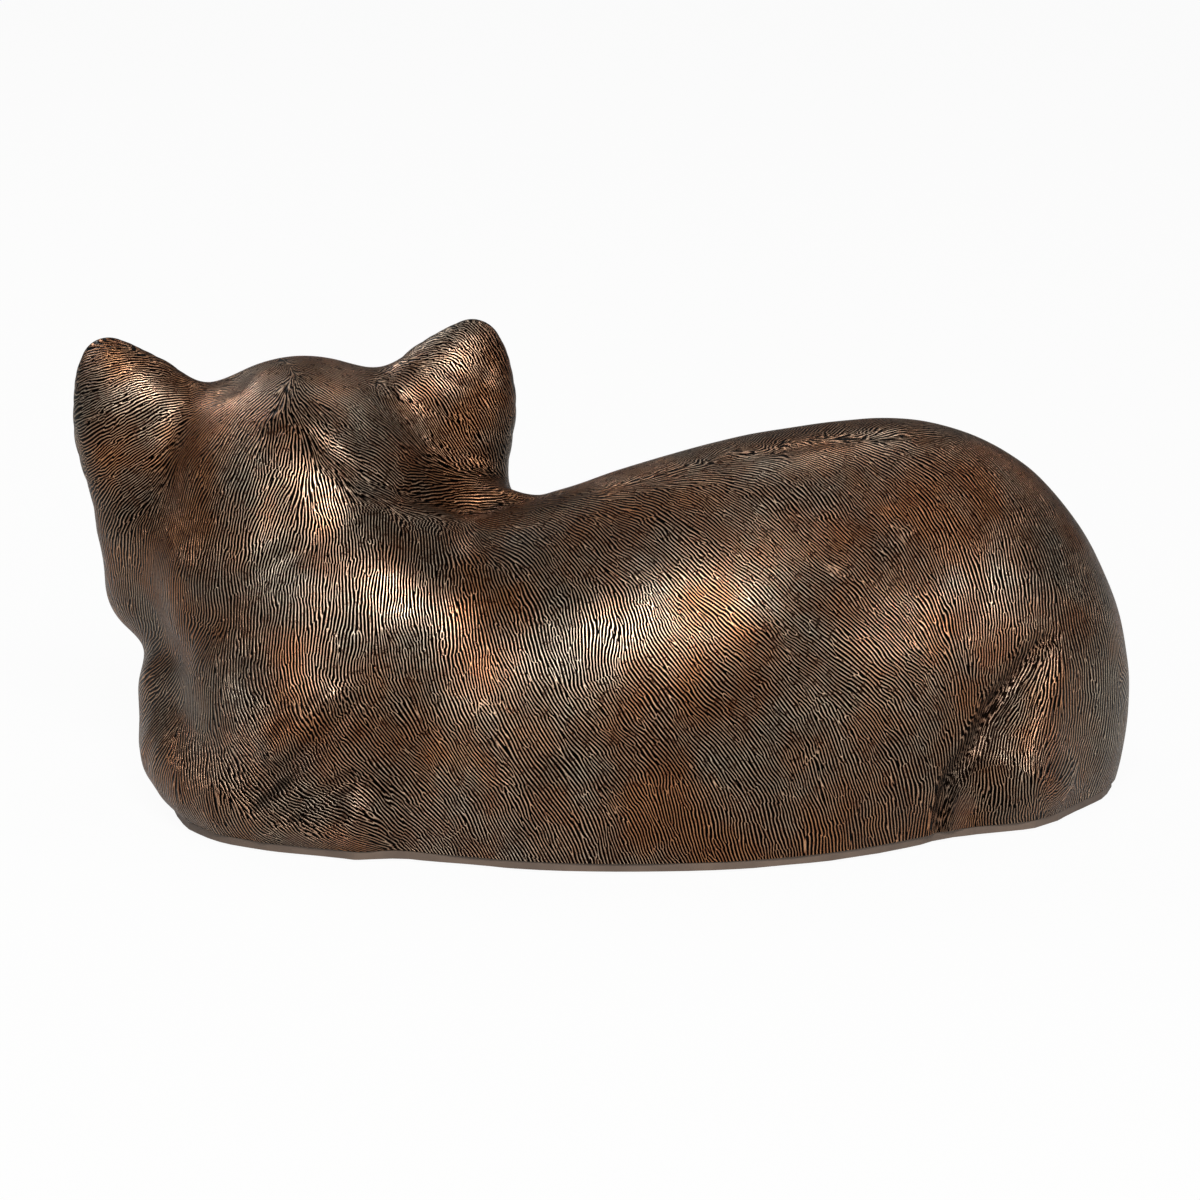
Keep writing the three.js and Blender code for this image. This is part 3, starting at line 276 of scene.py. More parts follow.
# The far side, legs and tail, modelled to match
COMBED_FAR = [
    (-20, 0, 122, 0.75, 0.6, -0.25), (20, 20, 118, 0.65, 0.65, -0.35), (60, 25, 125, 0.6, 0.7, -0.4),
    (100, 30, 125, 0.65, 0.6, -0.45), (130, 40, 108, 0.6, 0.5, -0.6), (150, 30, 90, 0.7, 0.3, -0.65),
    (175, 20, 55, 0.3, 0.2, -0.9), (-75, 20, 100, 0.6, 0.5, -0.6), (-80, 40, 85, 0.3, 0.4, -0.85),
    (-60, 45, 60, 0.3, 0.3, -0.9), (-30, 45, 95, 0.5, 0.4, -0.75), (0, 60, 60, 0.45, 0.2, -0.9),
    (-20, 60, 30, 0.3, 0.1, -0.95), (40, 60, 85, 0.55, 0.3, -0.8), (20, 60, 25, 0.3, 0.1, -0.95),
    (100, 60, 85, 0.35, 0.4, -0.85), (100, 72, 50, 0.05, 0.2, -0.97), (70, 66, 50, -0.35, 0.2, -0.9),
    (50, 68, 28, -0.85, 0.1, -0.45), (130, 66, 45, 0.3, 0.2, -0.9), (120, 74, 14, -1, 0, 0),
    (80, 75, 14, -1, 0, 0), (40, 76, 14, -1, 0, 0), (172, 8, 40, 0.2, 0.6, -0.75),
    (184, 34, 35, 0, 1, 0), (196, 34, 19, 0, 1, 0), (170, 66, 34, -0.4, 0.9, 0), (184, 66, 18, -0.4, 0.9, 0),
    (132, 86, 30, -0.95, 0.25, 0), (132, 98, 14, -0.95, 0.25, 0), (96, 90, 28, -1, 0, 0), (96, 98, 14, -1, 0, 0),
    (-114, 55, 45, 0, 0.3, -0.95), (-92, 50, 48, 0.1, 0.3, -0.95), (-138, 50, 48, -0.1, 0.3, -0.95),
    (-114, 45, 20, 0, 0.2, -1), (-150, 20, 44, -0.1, 0.95, -0.2), (-148, 60, 34, 0, 1, -0.15),
    (-170, 20, 24, 0, 0.97, -0.2), (-168, 60, 18, 0, 1, 0), (-147, 85, 20, 0, 0.9, -0.4),
    (-134, 60, 20, 0, 1, 0), (-98, 64, 34, -0.1, 0.98, -0.15), (-84, 64, 20, -0.1, 1, 0),
    (-97, 84, 24, 0, 0.9, -0.4), (-80, 45, 35, -0.2, 0.8, -0.6), (-66, 35, 20, -0.2, 0.8, -0.5),
    (-172, -10, 40, -0.3, 0.6, -0.7), (-165, -25, 40, -0.3, 0.5, -0.8),
]

# The face, mirrored left and right, in the head's own frame
COMBED_FACE = [
    (0, 64, 6, 0, -0.6, 0.8), (0, 48, 26, 0, -0.5, 0.86), (25, 42, 34, 0.35, -0.5, 0.78), (0, 22, 50, 0, -0.92, 0.35),
    (25, 15, 50, 0.3, -0.9, 0.25), (8, 55, 14, 0.2, -0.55, 0.8), (26, 50, 22, 0.4, -0.4, 0.8),
    (46, 34, 10, 0.8, -0.55, 0.15), (40, 34, 24, 0.6, -0.55, 0.55), (14, 72, -10, 0.75, -0.35, -0.1),
    (20, 64, -20, 0.85, -0.4, -0.35), (8, 76, -22, 0.5, 0, -0.85), (0, 68, -36, 0, -0.35, -0.93),
    (28, 48, -8, 0.75, -0.6, -0.1), (42, 38, -14, 0.8, -0.5, -0.35), (52, 25, -28, 0.55, -0.5, -0.65),
    (70, 5, -20, 0.2, -0.6, -0.77), (32, 42, -34, 0.35, -0.45, -0.8), (58, 16, 25, 0.2, 0, 0.97),
    (66, 10, 45, 0.1, 0, 0.99), (44, 12, 42, 0.3, 0, 0.95), (80, 2, 20, 0.15, -0.3, 0.94), (62, 5, 0, 0.35, -0.75, -0.5),
    (50, 14, 5, 0.5, -0.6, 0.3), (70, 10, -40, 0.2, -0.4, -0.9), (40, 30, -48, 0.3, -0.4, -0.85),
]

# Places where the coat is cut less: middle, radius, and how much of the stroke is left. On the head,
# in its own frame, they are eyes, muzzle, nose, the ears' insides and backs, and all the rest of it
BARE_HEAD = [((25, 45, 6), 16, 0.0), ((12, 64, -19), 16, 0.6), ((0, 76, -9), 9, 0.1), ((62, 24, 20), 17, 0.55),
             ((62, 0, 36), 34, 0.5), ((0, -10, 10), 85, 0.9)]
# The ends of the tail's and the elbow's folds, and the three paws
BARE_BODY = [((133, -53, 14), 7, 0.3), ((131, -51, 5), 8, 0.35), ((-110, -72, 6), 9, 0.35),
             ((-147, 88, 10), 22, 0.55), ((-101, 90, 10), 22, 0.55), ((28, 76, 10), 20, 0.55)]

CORNERS = [(i, j, k) for i in (0, 1) for j in (0, 1) for k in (0, 1)]


def smooth_min(a, b, blend):
    overlap = np.maximum(blend - np.abs(a - b), 0) / single(blend)
    return np.minimum(a, b) - overlap * overlap * single(blend / 4)


def smooth_max(a, b, blend):
    return -smooth_min(-a, -b, blend)


def turn_matrix(turn):
    z, y, x = (Matrix.Rotation(math.radians(angle), 3, axis) for angle, axis in zip(turn, "ZYX"))
    return np.array(z @ y @ x, single)


def length_of(vectors):
    return np.sqrt(np.einsum("ij,ij->i", vectors, vectors))


def egg(points, centre, half, turn=(0, 0, 0)):
    """Distance to an egg, about right near its surface."""
    local = points - np.array(centre, single)
    if any(turn):
        local = local @ turn_matrix(turn)
    half = np.array(half, single)
    share = local / half
    reach = length_of(share) + single(1e-6)
    share /= half
    return reach * (reach - 1) / (length_of(share) + single(1e-6))


def run(points, places):
    """Distance to a run of places (x, y, z, radius) joined by straight tapered lengths."""
    least = None
    for a, b in zip(places, places[1:]):
        start = np.array(a[:3], single)
        along = np.array(b[:3], single) - start
        local = points - start
        t = np.clip((local @ along) / single(along @ along), 0, 1)
        local -= t[:, None] * along
        away = length_of(local) - (single(a[3]) + t * single(b[3] - a[3]))
        least = away if least is None else np.minimum(least, away)
    return least


def smooth_run(places, steps=3):
    """More places on a smooth curve through the given ones."""
    p = [np.array(place, float) for place in places]
    p = [2 * p[0] - p[1], *p, 2 * p[-1] - p[-2]]
    out = []
    for a, b, c, d in zip(p, p[1:], p[2:], p[3:]):
        for t in np.arange(steps) / steps:
            bend, twist = 2 * a - 5 * b + 4 * c - d, 3 * b - 3 * c + d - a
            out.append((2 * b + (c - a) * t + bend * t * t + twist * t**3) / 2)
    return [*out, p[-2]]


def body_size(share):
    return (share[0] * BODY_LENGTH, share[1] * BODY_DEPTH, share[2] * BACK_HEIGHT)


def body_place(share):
    return (*body_size(share), (share[3] if len(share) > 3 else 0) * BACK_HEIGHT)


def head_size(share):
    return tuple(v * HEAD_WIDTH for v in share)


def add_masses(distance, points, masses, place, size, join=smooth_min):
    """Joins masses to a distance, or cuts them out of it, passing over those too far away to matter."""
    low, high = points.min(0), points.max(0)
    for blend, first, *rest in masses:
        if rest:
            centre, half = np.array(place(first)[:3]), np.full(3, max(size(rest[0])))
        else:
            places = [place(p) for p in first]
            places = smooth_run(places) if len(places) > 2 else places
            ends = np.array(places)
            centre = (ends[:, :3].min(0) + ends[:, :3].max(0)) / 2
            half = np.ptp(ends[:, :3], axis=0) / 2 + ends[:, 3].max()
        if distance is not None:
            gap = np.linalg.norm(np.maximum(np.maximum(low - centre - half, centre - half - high), 0))
            if gap > 1.6 * (blend + max(float(distance.max()), 0)):
                continue
        part = egg(points, centre, size(rest[0]), rest[1]) if rest else run(points, places)
        if join is smooth_max:
            part = -part
        distance = part if distance is None else join(distance, part, blend)
    return distance


def paw(points, share, turn, spread, length, radius):
    """Four toes side by side."""
    local = (points - np.array(body_size(share), single)) @ turn_matrix((turn, 0, 0))
    tall = BACK_HEIGHT
    distance = None
    for side in (-1.5, -0.5, 0.5, 1.5):
        x = side * spread * tall / 4
        y = -abs(side) * spread * tall * TOE_BACK
        root = (x, y - length * tall, TOE_ROOT_HEIGHT * tall, radius * TOE_ROOT_RADIUS * tall)
        tip = (x, y - TOE_TIP_BACK * tall, TOE_TIP_HEIGHT * tall, radius * tall)
        toe = run(local, [root, tip])
        distance = toe if distance is None else smooth_min(distance, toe, TOE_BLEND)
    return distance


def body_field(points):
    masses = TRUNK + NECK_MASSES + SHOULDERS + FORELEGS + HIND_LEGS + TAIL
    distance = add_masses(None, points, masses, body_place, body_size)
    low, high = points.min(0) - PAW_REACH, points.max(0) + PAW_REACH
    for toes in PAWS:
        if (low < body_size(toes[0])).all() and (high > body_size(toes[0])).all():
            distance = smooth_min(distance, paw(points, *toes), LIP)
    return distance


def to_head(points):
    return (points - np.array(body_size(HEAD_PLACE), single)) @ turn_matrix((0, HEAD_LEAN, 0))


def from_head(points):
    return points @ turn_matrix((0, HEAD_LEAN, 0)).T + np.array(body_size(HEAD_PLACE), single)


def mirrored(local, flat=1):
    """Both halves of the head laid over each other, and drawn out in depth where a form is flattened."""
    return np.abs(local) * np.array((1, 0, 0), single) + local * np.array((0, 1 / flat, 1), single)


def ear_field(local):
    folded = mirrored(local, EAR_FLAT)
    outer = run(folded, smooth_run([head_size(s) for s in EAR]))
    scoop = run(folded, smooth_run([head_size(s) for s in EAR_SCOOP]))
    return smooth_max(outer, -scoop, LIP) * single(EAR_STEP)


def head_field(points):
    local = to_head(points)
    distance = add_masses(None, local, SKULL + FACE, head_size, head_size)
    distance = add_masses(distance, local, SOCKETS, head_size, head_size, smooth_max)
    distance = add_masses(distance, local, EYES, head_size, head_size)
    if len(local) and (local.max(0) > FACE_BOX[0]).all() and (local.min(0) < FACE_BOX[1]).all():
        _, lids, slit = eyelids(local)
        distance = smooth_min(distance, lids, LID_BLEND) + slit
        distance = distance + face_cuts(local)
    return smooth_min(distance, ear_field(local), FIRM)


def eyelids(local):
    """Distances to the eyeballs and to their lids, and the depth of the pupils' slits."""
    outward, raised = EYE_TURN
    place = (mirrored(local) - np.array(EYE_PLACE, single)) @ turn_matrix((outward, raised, 0))
    across, height = place[:, 0], place[:, 2]
    ball = length_of(place) - single(EYE_RADIUS)
    wide, above, below = EYE_OPENING
    lid = np.where(height > 0, single(above), single(below)) * (1 - (across / single(wide)) ** 2)
    shell = smooth_max(ball - single(LID_THICKNESS), (lid - np.abs(height)) * single(LID_SLOPE), LID_EDGE)
    slit = run(place, [(0, EYE_RADIUS, -PUPIL_HALF_HEIGHT, 0), (0, EYE_RADIUS, PUPIL_HALF_HEIGHT, 0)])
    return ball, shell, single(PUPIL_DEPTH) * np.exp(-((slit / single(PUPIL_WIDTH)) ** 2))


def eye_share(points):
    """1 on the eyeballs between the lids, else 0."""
    edge, fade, near = 0.2, 0.5, 1.2
    ball, lids, _ = eyelids(to_head(points))
    return np.clip((lids - edge) / fade, 0, 1) * (ball < near)


def face_cuts(local):
    """Depth of the lines cut in the face: mouth, nostrils, eye corners and whisker rows."""
    both = mirrored(local)
    depth = np.zeros(len(local), single)
    for places, deep, wide in face_lines:
        depth += single(deep) * np.exp(-((run(both, places) / single(wide)) ** 2))
    return depth


def lattice_noise(points, length, seed):
    """Smooth noise between -1 and 1 with swells one length across."""
    local = points / single(length) + single(seed * 17.3 + 1000)
    base = np.floor(local)
    share = (local - base).astype(single)
    share = share * share * (3 - 2 * share)
    base = base.astype(np.int64)
    total = np.zeros(len(points), single)
    for i, j, k in CORNERS:
        cell = (base[:, 0] + i) * 73856093 ^ (base[:, 1] + j) * 19349663 ^ (base[:, 2] + k) * 83492791
        cell = (cell ^ cell >> 13) * 1274126177 & 0x7FFFFFFF
        height = ((cell ^ cell >> 16) & 0xFFFF).astype(single) / 32768 - 1
        weight = np.ones(len(points), single)
        for axis, side in enumerate((i, j, k)):
            weight *= share[:, axis] if side else 1 - share[:, axis]
        total += weight * height
    return total


def relief(points):
    """Depth of the soft unevenness of a hand-modelled surface, mostly below the castings' own skin."""
    depth = single(SKIN_INSET)
    for height, length, seed in SWELLS:
        depth = depth + single(height) * lattice_noise(points, length, seed)
    return depth


def seated(field, places, placed, width):
    """A smooth run through places, set on a field's surface, that fades out towards its ends."""
    curve = np.array([p[:3] for p in smooth_run([(*p, 0) for p in places])], single)
    spots = seat(field, placed(curve), rounds=4, most=6)
    faded = -FADE * width * np.abs(np.linspace(-1, 1, len(spots))) ** 5
    return [(*p, f) for p, f in zip(spots.tolist(), faded)]


def plain_cat(points):
    return smooth_min(body_field(points), head_field(points), NECK)


def folded(points, distance):
    """The distance with the folds cut and the rolls raised."""
    low, high = points.min(0) - FOLD_REACH, points.max(0) + FOLD_REACH
    for places, depth, width in body_folds:
        ends = np.array(places)[:, :3]
        if (ends.max(0) > low).all() and (ends.min(0) < high).all():
            distance = distance + single(depth) * np.exp(-((run(points, places) / single(width)) ** 2))
    return distance


def cat(points):
    return folded(points, plain_cat(points)) + relief(points)


def room(points):
    """The room in the castings: it follows trunk, neck and skull."""
    core = add_masses(None, points, TRUNK + NECK_MASSES + SHOULDERS, body_place, body_size)
    skull = add_masses(None, to_head(points), SKULL, head_size, head_size)
    return np.maximum(cat(points), smooth_min(core, skull, NECK))


def inner_wall(points):
    return room(points) + WALL


def seam(points):
    """The neck seam, where head and body are the same distance away."""
    return head_field(points) - body_field(points)


def in_parts(field, points, size=16000):
    points = np.asarray(points, single)
    return np.concatenate([field(points[i:i + size]) for i in range(0, len(points), size)])


def sample(field, low, high, cell):
    """The field on a grid: exact near its surface, rough elsewhere."""
    step, margin = 4, 1.15
    count = [int(math.ceil((high[k] - low[k]) / cell / step)) + 1 for k in range(3)]
    axes = [low[k] + cell * step * np.arange(count[k]) for k in range(3)]
    rough = in_parts(field, np.stack(np.meshgrid(*axes, indexing="ij"), -1).reshape(-1, 3)).reshape(count)
    close = np.abs(rough) < cell * step * margin
    block = np.zeros([c - 1 for c in count], bool)
    for i, j, k in CORNERS:
        block |= close[i:count[0] - 1 + i, j:count[1] - 1 + j, k:count[2] - 1 + k]
    value = rough[:-1, :-1, :-1].astype(single)
    for axis in range(3):
        value = np.repeat(value, step, axis)
        block = np.repeat(block, step, axis)
    near = np.argwhere(block)
    value[block] = in_parts(field, near * cell + np.array(low))
    for axis in range(3):
        ends = [slice(None)] * 3
        for end in (0, -1):
            ends[axis] = end
            value[tuple(ends)] = np.maximum(value[tuple(ends)], cell / 2)
    return value


def unpinch(value):
    """Fills the outside corner nearest the surface where inside corners meet only across a diagonal."""
    just_inside = -1e-4

    def corner(*offset):
        return tuple(slice(o, value.shape[k] - 1 + o) for k, o in enumerate(offset))

    def fill(spots, offsets):
        for spot in spots:
            places = [tuple(spot + np.array(o)) for o in offsets]
            best = min(places, key=lambda p: value[p])
            value[best] = just_inside

    for _ in range(12):
        inside = value < 0
        found = 0
        for u, w in (((1, 0, 0), (0, 1, 0)), ((0, 1, 0), (0, 0, 1)), ((1, 0, 0), (0, 0, 1))):
            ring = [(0, 0, 0), u, tuple(np.add(u, w)), w]
            shape = tuple(slice(0, value.shape[k] - (u[k] | w[k])) for k in range(3))
            a, b, c, d = (inside[tuple(slice(o[k], shape[k].stop + o[k]) for k in range(3))] for o in ring)
            for spots, empty in ((np.argwhere(a & c & ~b & ~d), (ring[1], ring[3])),
                                 (np.argwhere(b & d & ~a & ~c), (ring[0], ring[2]))):
                fill(spots, empty)
                found += len(spots)
        inside = value < 0
        flags = {o: inside[corner(*o)] for o in CORNERS}
        for o in CORNERS[:4]:
            far = tuple(1 - v for v in o)
            rest = [c for c in CORNERS if c not in (o, far)]
            alone = flags[o] & flags[far]
            empty = ~flags[o] & ~flags[far]
            for c in rest:
                alone &= ~flags[c]
                empty &= flags[c]
            for spots, open_corners in ((np.argwhere(alone), rest), (np.argwhere(empty), (o, far))):
                fill(spots, open_corners)
                found += len(spots)
        if not found:
            break
    return value


def net(value, low, cell):
    """A closed net of four-sided faces round the inside of a sampled field."""
    inside = value < 0
    offsets = np.array(CORNERS)
    size = value.shape
    count = sum(inside[i:size[0] - 1 + i, j:size[1] - 1 + j, k:size[2] - 1 + k].astype(np.int8)
                for i, j, k in offsets)
    mixed = (count > 0) & (count < 8)
    cells = np.argwhere(mixed)
    index = np.full(mixed.shape, -1, np.int32)
    index[mixed] = np.arange(len(cells))
    values = np.stack([value[tuple((cells + o).T)] for o in offsets], 1)
    total = np.zeros((len(cells), 3))
    hits = np.zeros(len(cells))
    for a in range(8):
        for b in range(a + 1, 8):
            if np.abs(offsets[a] - offsets[b]).sum() != 1:
                continue
            crossed = (values[:, a] < 0) != (values[:, b] < 0)
            share = values[:, a] / np.where(crossed, values[:, a] - values[:, b], 1)
            total += np.where(crossed[:, None], offsets[a] + share[:, None] * (offsets[b] - offsets[a]), 0)
            hits += crossed
    points = (cells + total / hits[:, None]) * cell + np.array(low)
    faces = []
    for axis in range(3):
        u, w = (axis + 1) % 3, (axis + 2) % 3
        near, far = [slice(None)] * 3, [slice(None)] * 3
        near[axis], far[axis] = slice(0, -1), slice(1, None)
        edge = np.argwhere(inside[tuple(near)] != inside[tuple(far)])
        outward = inside[tuple(edge.T)]
        ring = []
        for du, dw in ((0, 0), (-1, 0), (-1, -1), (0, -1)):
            spot = edge.copy()
            spot[:, u] += du
            spot[:, w] += dw
            ring.append(index[tuple(spot.T)])
        ring = np.stack(ring, 1)
        ring[~outward] = ring[~outward][:, ::-1]
        faces.append(ring)
    return points, np.concatenate(faces)


def slope(field, points, reach=0.3):
    """The field's slope, from four places round each point."""
    out = np.zeros((len(points), 3), single)
    for corner in ((1, -1, -1), (-1, -1, 1), (-1, 1, -1), (1, 1, 1)):
        side = np.array(corner, single)
        out += in_parts(field, points + side * single(reach))[:, None] * side / single(4 * reach)
    return out


def seat(field, points, rounds=1, most=3.0):
    """Moves points on to the field's surface."""
    points = np.asarray(points, single)
    for _ in range(rounds):
        direction = slope(field, points)
        square = np.maximum((direction * direction).sum(1), 0.05)
        move = np.clip(in_parts(field, points) / square, -most, most)
        points = points - move[:, None] * direction
    return points


def unit(vectors):
    return vectors / np.maximum(np.linalg.norm(vectors, axis=1)[:, None], 1e-6)


def outline(field, low, high, cell):
    """A closed mesh of a field's surface."""
    points, faces = net(unpinch(sample(field, low, high, cell)), low, cell)
    return seat(field, points, 1, cell), faces


def toe_clefts():
    """The lines between the toes of each paw, over the top and down the front."""
    for place, turn, spread, length, radius in PAWS:
        for side in (-1, 0, 1):
            line = [(side * spread / 4, y, z) for y, z in ((-0.8 * length, radius), (0, 0.95 * radius),
                                                           (0.9 * radius, 0.2 * radius), (0.9 * radius, -0.9 * radius))]
            turned = np.array(line) * BACK_HEIGHT @ turn_matrix((turn, 0, 0)).T + np.array(body_size(place))
            yield turned.tolist(), CLEFT_DEPTH, CLEFT_WIDTH


# The cut lines are set on the surface: first those of the face, then those of the body
face_lines = []
for places, depth, width in FACE_LINES:
    line = np.array(seated(head_field, places, from_head, width), single)
    face_lines.append((np.column_stack([to_head(line[:, :3]), line[:, 3]]), depth, width))
all_folds = [([body_size(p) for p in places], depth, width) for places, depth, width in FOLDS] + list(toe_clefts())
body_folds = [(seated(plain_cat, places, np.array, width), depth, width) for places, depth, width in all_folds]


# The figure stands over the CAD's first pad as the castings do
FIRST_PAD = (-0.3, -0.16, 0)
pad_low, pad_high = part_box("pad_1")
SHIFT = np.array((pad_low + pad_high) / 2) / MM - np.array(body_size(FIRST_PAD))
SHIFT[2] = 0


def mesh_object(name, points, faces):
    mesh = bpy.data.meshes.new(name)
    mesh.from_pydata(((points + SHIFT) * MM).tolist(), [], faces.tolist())
    obj = bpy.data.objects.new(name, mesh)
    bpy.context.collection.objects.link(obj)
    return obj


def slab(name, bottom, top):
    """A block wider than the figure, from one height to another."""
    sides = (-BODY_LENGTH, BODY_LENGTH)
    corners = [(x, y, z) for x in sides for y in sides for z in (bottom, top)]
    faces = [(0, 1, 3, 2), (4, 6, 7, 5), (0, 4, 5, 1), (2, 3, 7, 6), (0, 2, 6, 4), (1, 5, 7, 3)]
    return mesh_object(name, np.array(corners, float), np.array(faces))


def shape(obj, other, operation):
    """Joins, cuts or trims a solid with another one."""
    change = obj.modifiers.new("Shape", "BOOLEAN")
    change.operation = operation
    change.solver = "MANIFOLD"
    change.object = other
    plain = bpy.data.meshes.new_from_object(obj.evaluated_get(bpy.context.evaluated_depsgraph_get()))
    obj.modifiers.clear()
    old = obj.data
    obj.data = plain
    bpy.data.meshes.remove(old)


def discard(*objects):
    for obj in objects:
        mesh = obj.data
        bpy.data.objects.remove(obj)
        bpy.data.meshes.remove(mesh)


# The boxes in which the body, the head and the neck seam are meshed, in millimetres
HEAD_REACH = 100
SEAM_MARGIN = 16
body_box = (np.array((-216.0, -116, -16)), np.array((216.0, 116, 203)))
head_middle = np.array(body_size(HEAD_PLACE))
head_box = (head_middle - HEAD_REACH, head_middle + HEAD_REACH)
seam_box = (head_box[0] - SEAM_MARGIN, head_box[1] + SEAM_MARGIN)

body = mesh_object("cast_body", *outline(cat, *body_box, BODY_CELL))
head = mesh_object("cast_head", *outline(cat, *head_box, HEAD_CELL))
neck_cut = mesh_object("neck_cut", *outline(seam, *seam_box, SEAM_CELL))
hollow, hollow_faces = outline(inner_wall, *body_box, ROOM_CELL)
inside_body = mesh_object("inside_of_body", hollow, hollow_faces)
spigot = mesh_object("spigot", hollow - GAP * unit(slope(inner_wall, hollow)), hollow_faces)
spigot_end = mesh_object("spigot_end", *outline(lambda p: seam(p) - SPIGOT_LENGTH, *seam_box, SEAM_CELL))
inside_head = mesh_object("inside_of_head", *outline(lambda p: inner_wall(p) + SPIGOT_WALL, *body_box, ROOM_CELL))
above = slab("above_plate", CASTING_BOTTOM, BODY_LENGTH)
shape(body, neck_cut, "DIFFERENCE")
shape(body, inside_body, "DIFFERENCE")
shape(body, above, "INTERSECT")
shape(spigot, spigot_end, "INTERSECT")
shape(head, neck_cut, "INTERSECT")
shape(head, spigot, "UNION")
shape(head, inside_head, "DIFFERENCE")
discard(neck_cut, inside_body, spigot, spigot_end, inside_head, above)


def values_of(items, name, width=1, kind=np.int32):
    """One value of every item of a mesh, or a row of them."""
    flat = np.empty(len(items) * width, kind)
    items.foreach_get(name, flat)
    return flat.reshape(-1, width) if width > 1 else flat


def points_of(mesh):
    return values_of(mesh.vertices, "co", 3, single) / single(MM) - SHIFT.astype(single)


def comb_guides():
    """The combed places on the surface, with the hair's direction and the outward direction there."""
    face = np.array(COMBED_FACE, single)
    both = np.concatenate([face, face * np.array((-1, 1, 1, -1, 1, 1), single)])
    lean = turn_matrix((0, HEAD_LEAN, 0)).T
    placed = np.concatenate([from_head(both[:, :3]), both[:, 3:] @ lean], 1)
    rows = np.concatenate([np.array(COMBED, single), np.array(COMBED_FAR, single), placed])
    spots = seat(cat, rows[:, :3], rounds=4, most=12)
    return spots, unit(rows[:, 3:]), unit(slope(cat, spots))


guide_spots, guide_hair, guide_out = comb_guides()


def combed(points, out):
    """The hair's direction at points of the skin, blended from the guides around them."""
    batch, near, other_side, least = 20000, 40, 0.15, 0.01
    hair = np.empty_like(points)
    for i in range(0, len(points), batch):
        part, facing = points[i:i + batch], out[i:i + batch]
        away = ((part[:, None] - guide_spots[None]) ** 2).sum(2)
        same = np.clip(facing @ guide_out.T + other_side, least, None)
        weight = same * same / (away + near) ** 2
        blend = weight @ guide_hair
        hair[i:i + batch] = blend - (blend * facing).sum(1)[:, None] * facing
    return unit(hair)


# The painted shade of a cut fold lies in the cut and, wider, this far beside it, in millimetres. Only folds of
# at least the first depth get painted shade, and those of the second the darkest
FOLD_SHADE = np.array((3.5, 0, 0), single)
SHADE_WIDTH, CUT_WIDTH, UNCUT_WIDTH = 4.5, 3, 2.5
DEEP_FOLD, DEEPEST_FOLD = 2, 3.4
# Skin is where a face's corners point its way and lie near the cat's surface, in millimetres
SKIN_FACING, SKIN_REACH = 0.45, 0.4
# A hollow is where this far outside the skin there is skin again, and its painted shade grows over the range
HOLLOW_REACH, HOLLOW_RANGE = 7, 5


def line_share(points, width):
    """How near a point is to a deeply cut fold, from 0 to 1."""
    best = np.zeros(len(points), single)
    for places, depth, _ in body_folds:
        if depth >= DEEP_FOLD:
            most = single(min(depth / DEEPEST_FOLD, 1) ** 2)
            best = np.maximum(best, most * np.exp(-((run(points, places) / single(width)) ** 2)))
    return best


# Painted shade in and beside deep folds, from 0 to 1
def painted_fold_shade(points):
    return np.maximum(line_share(points - FOLD_SHADE, SHADE_WIDTH), line_share(points, CUT_WIDTH))


def bare_share(points):
    """How much of the cut coat is left at a point, from 0 to 1."""
    edge, fade = 1.25, 0.5
    left = np.ones(len(points), single)
    for places, spots in ((mirrored(to_head(points)), BARE_HEAD), (points, BARE_BODY)):
        for middle, radius, amount in spots:
            away = np.linalg.norm(places - np.array(middle, single), axis=1)
            near = np.clip((radius * edge - away) / (radius * fade), 0, 1)
            left = np.minimum(left, 1 - near * (1 - amount))
    return left


def dress(obj):
    """Marks the painted skin, smooths it and stores the coat's direction, depth and shading on it."""
    mesh = obj.data
    points = points_of(mesh)
    out = unit(slope(cat, points))
    distance = np.abs(in_parts(cat, points))
    corners = values_of(mesh.loops, "vertex_index")
    totals = values_of(mesh.polygons, "loop_total")
    normals = values_of(mesh.polygons, "normal", 3, single)
    owner = np.repeat(np.arange(len(totals)), totals)
    facing = np.zeros(len(totals), single)
    np.add.at(facing, owner, (out[corners] * normals[owner]).sum(1))
    far = np.zeros(len(totals), single)
    np.maximum.at(far, owner, distance[corners])
    skin = (facing / totals > SKIN_FACING) & (far < SKIN_REACH)
    mesh.polygons.foreach_set("material_index", np.where(skin, 0, 1).astype(np.int32))
    mesh.polygons.foreach_set("use_smooth", np.ones(len(totals), bool))
    corner_normals = np.where(skin[owner][:, None], out[corners], normals[owner])
    mesh.normals_split_custom_set(corner_normals.tolist())

    across = unit(np.cross(out, combed(points, out)))
    left = in_parts(bare_share, points)
    beyond = in_parts(cat, points + HOLLOW_REACH * out)
    fields = {
        # Painted shade in hollows
        "hollow": np.clip((HOLLOW_REACH - beyond) / HOLLOW_RANGE, 0, 1),
        "eye": in_parts(eye_share, points),
        # Painted shade in and beside deep folds
        "fold": in_parts(painted_fold_shade, points),
        "coat": left * (1 - in_parts(lambda p: line_share(p, UNCUT_WIDTH), points)),
        # Strokes lie closer where the coat is cut less, and wider apart at the statue's ends
        "pitch": 1.4 - 0.4 * left - 0.36 * out[:, 0] ** 2,
    }
    for name, values in fields.items():
        mesh.attributes.new(name, "FLOAT", "POINT").data.foreach_set("value", values.astype(single))
    vectors = mesh.attributes.new("across", "FLOAT_VECTOR", "POINT").data
    vectors.foreach_set("vector", across.astype(single).ravel())


def linear(code):
    channels = [int(code[i:i + 2], 16) / 255 for i in (1, 3, 5)]
    return (*(c / 12.92 if c <= 0.04045 else ((c + 0.055) / 1.055) ** 2.4 for c in channels), 1)


def first_output(made):
    return next(output for output in made.outputs if output.enabled)


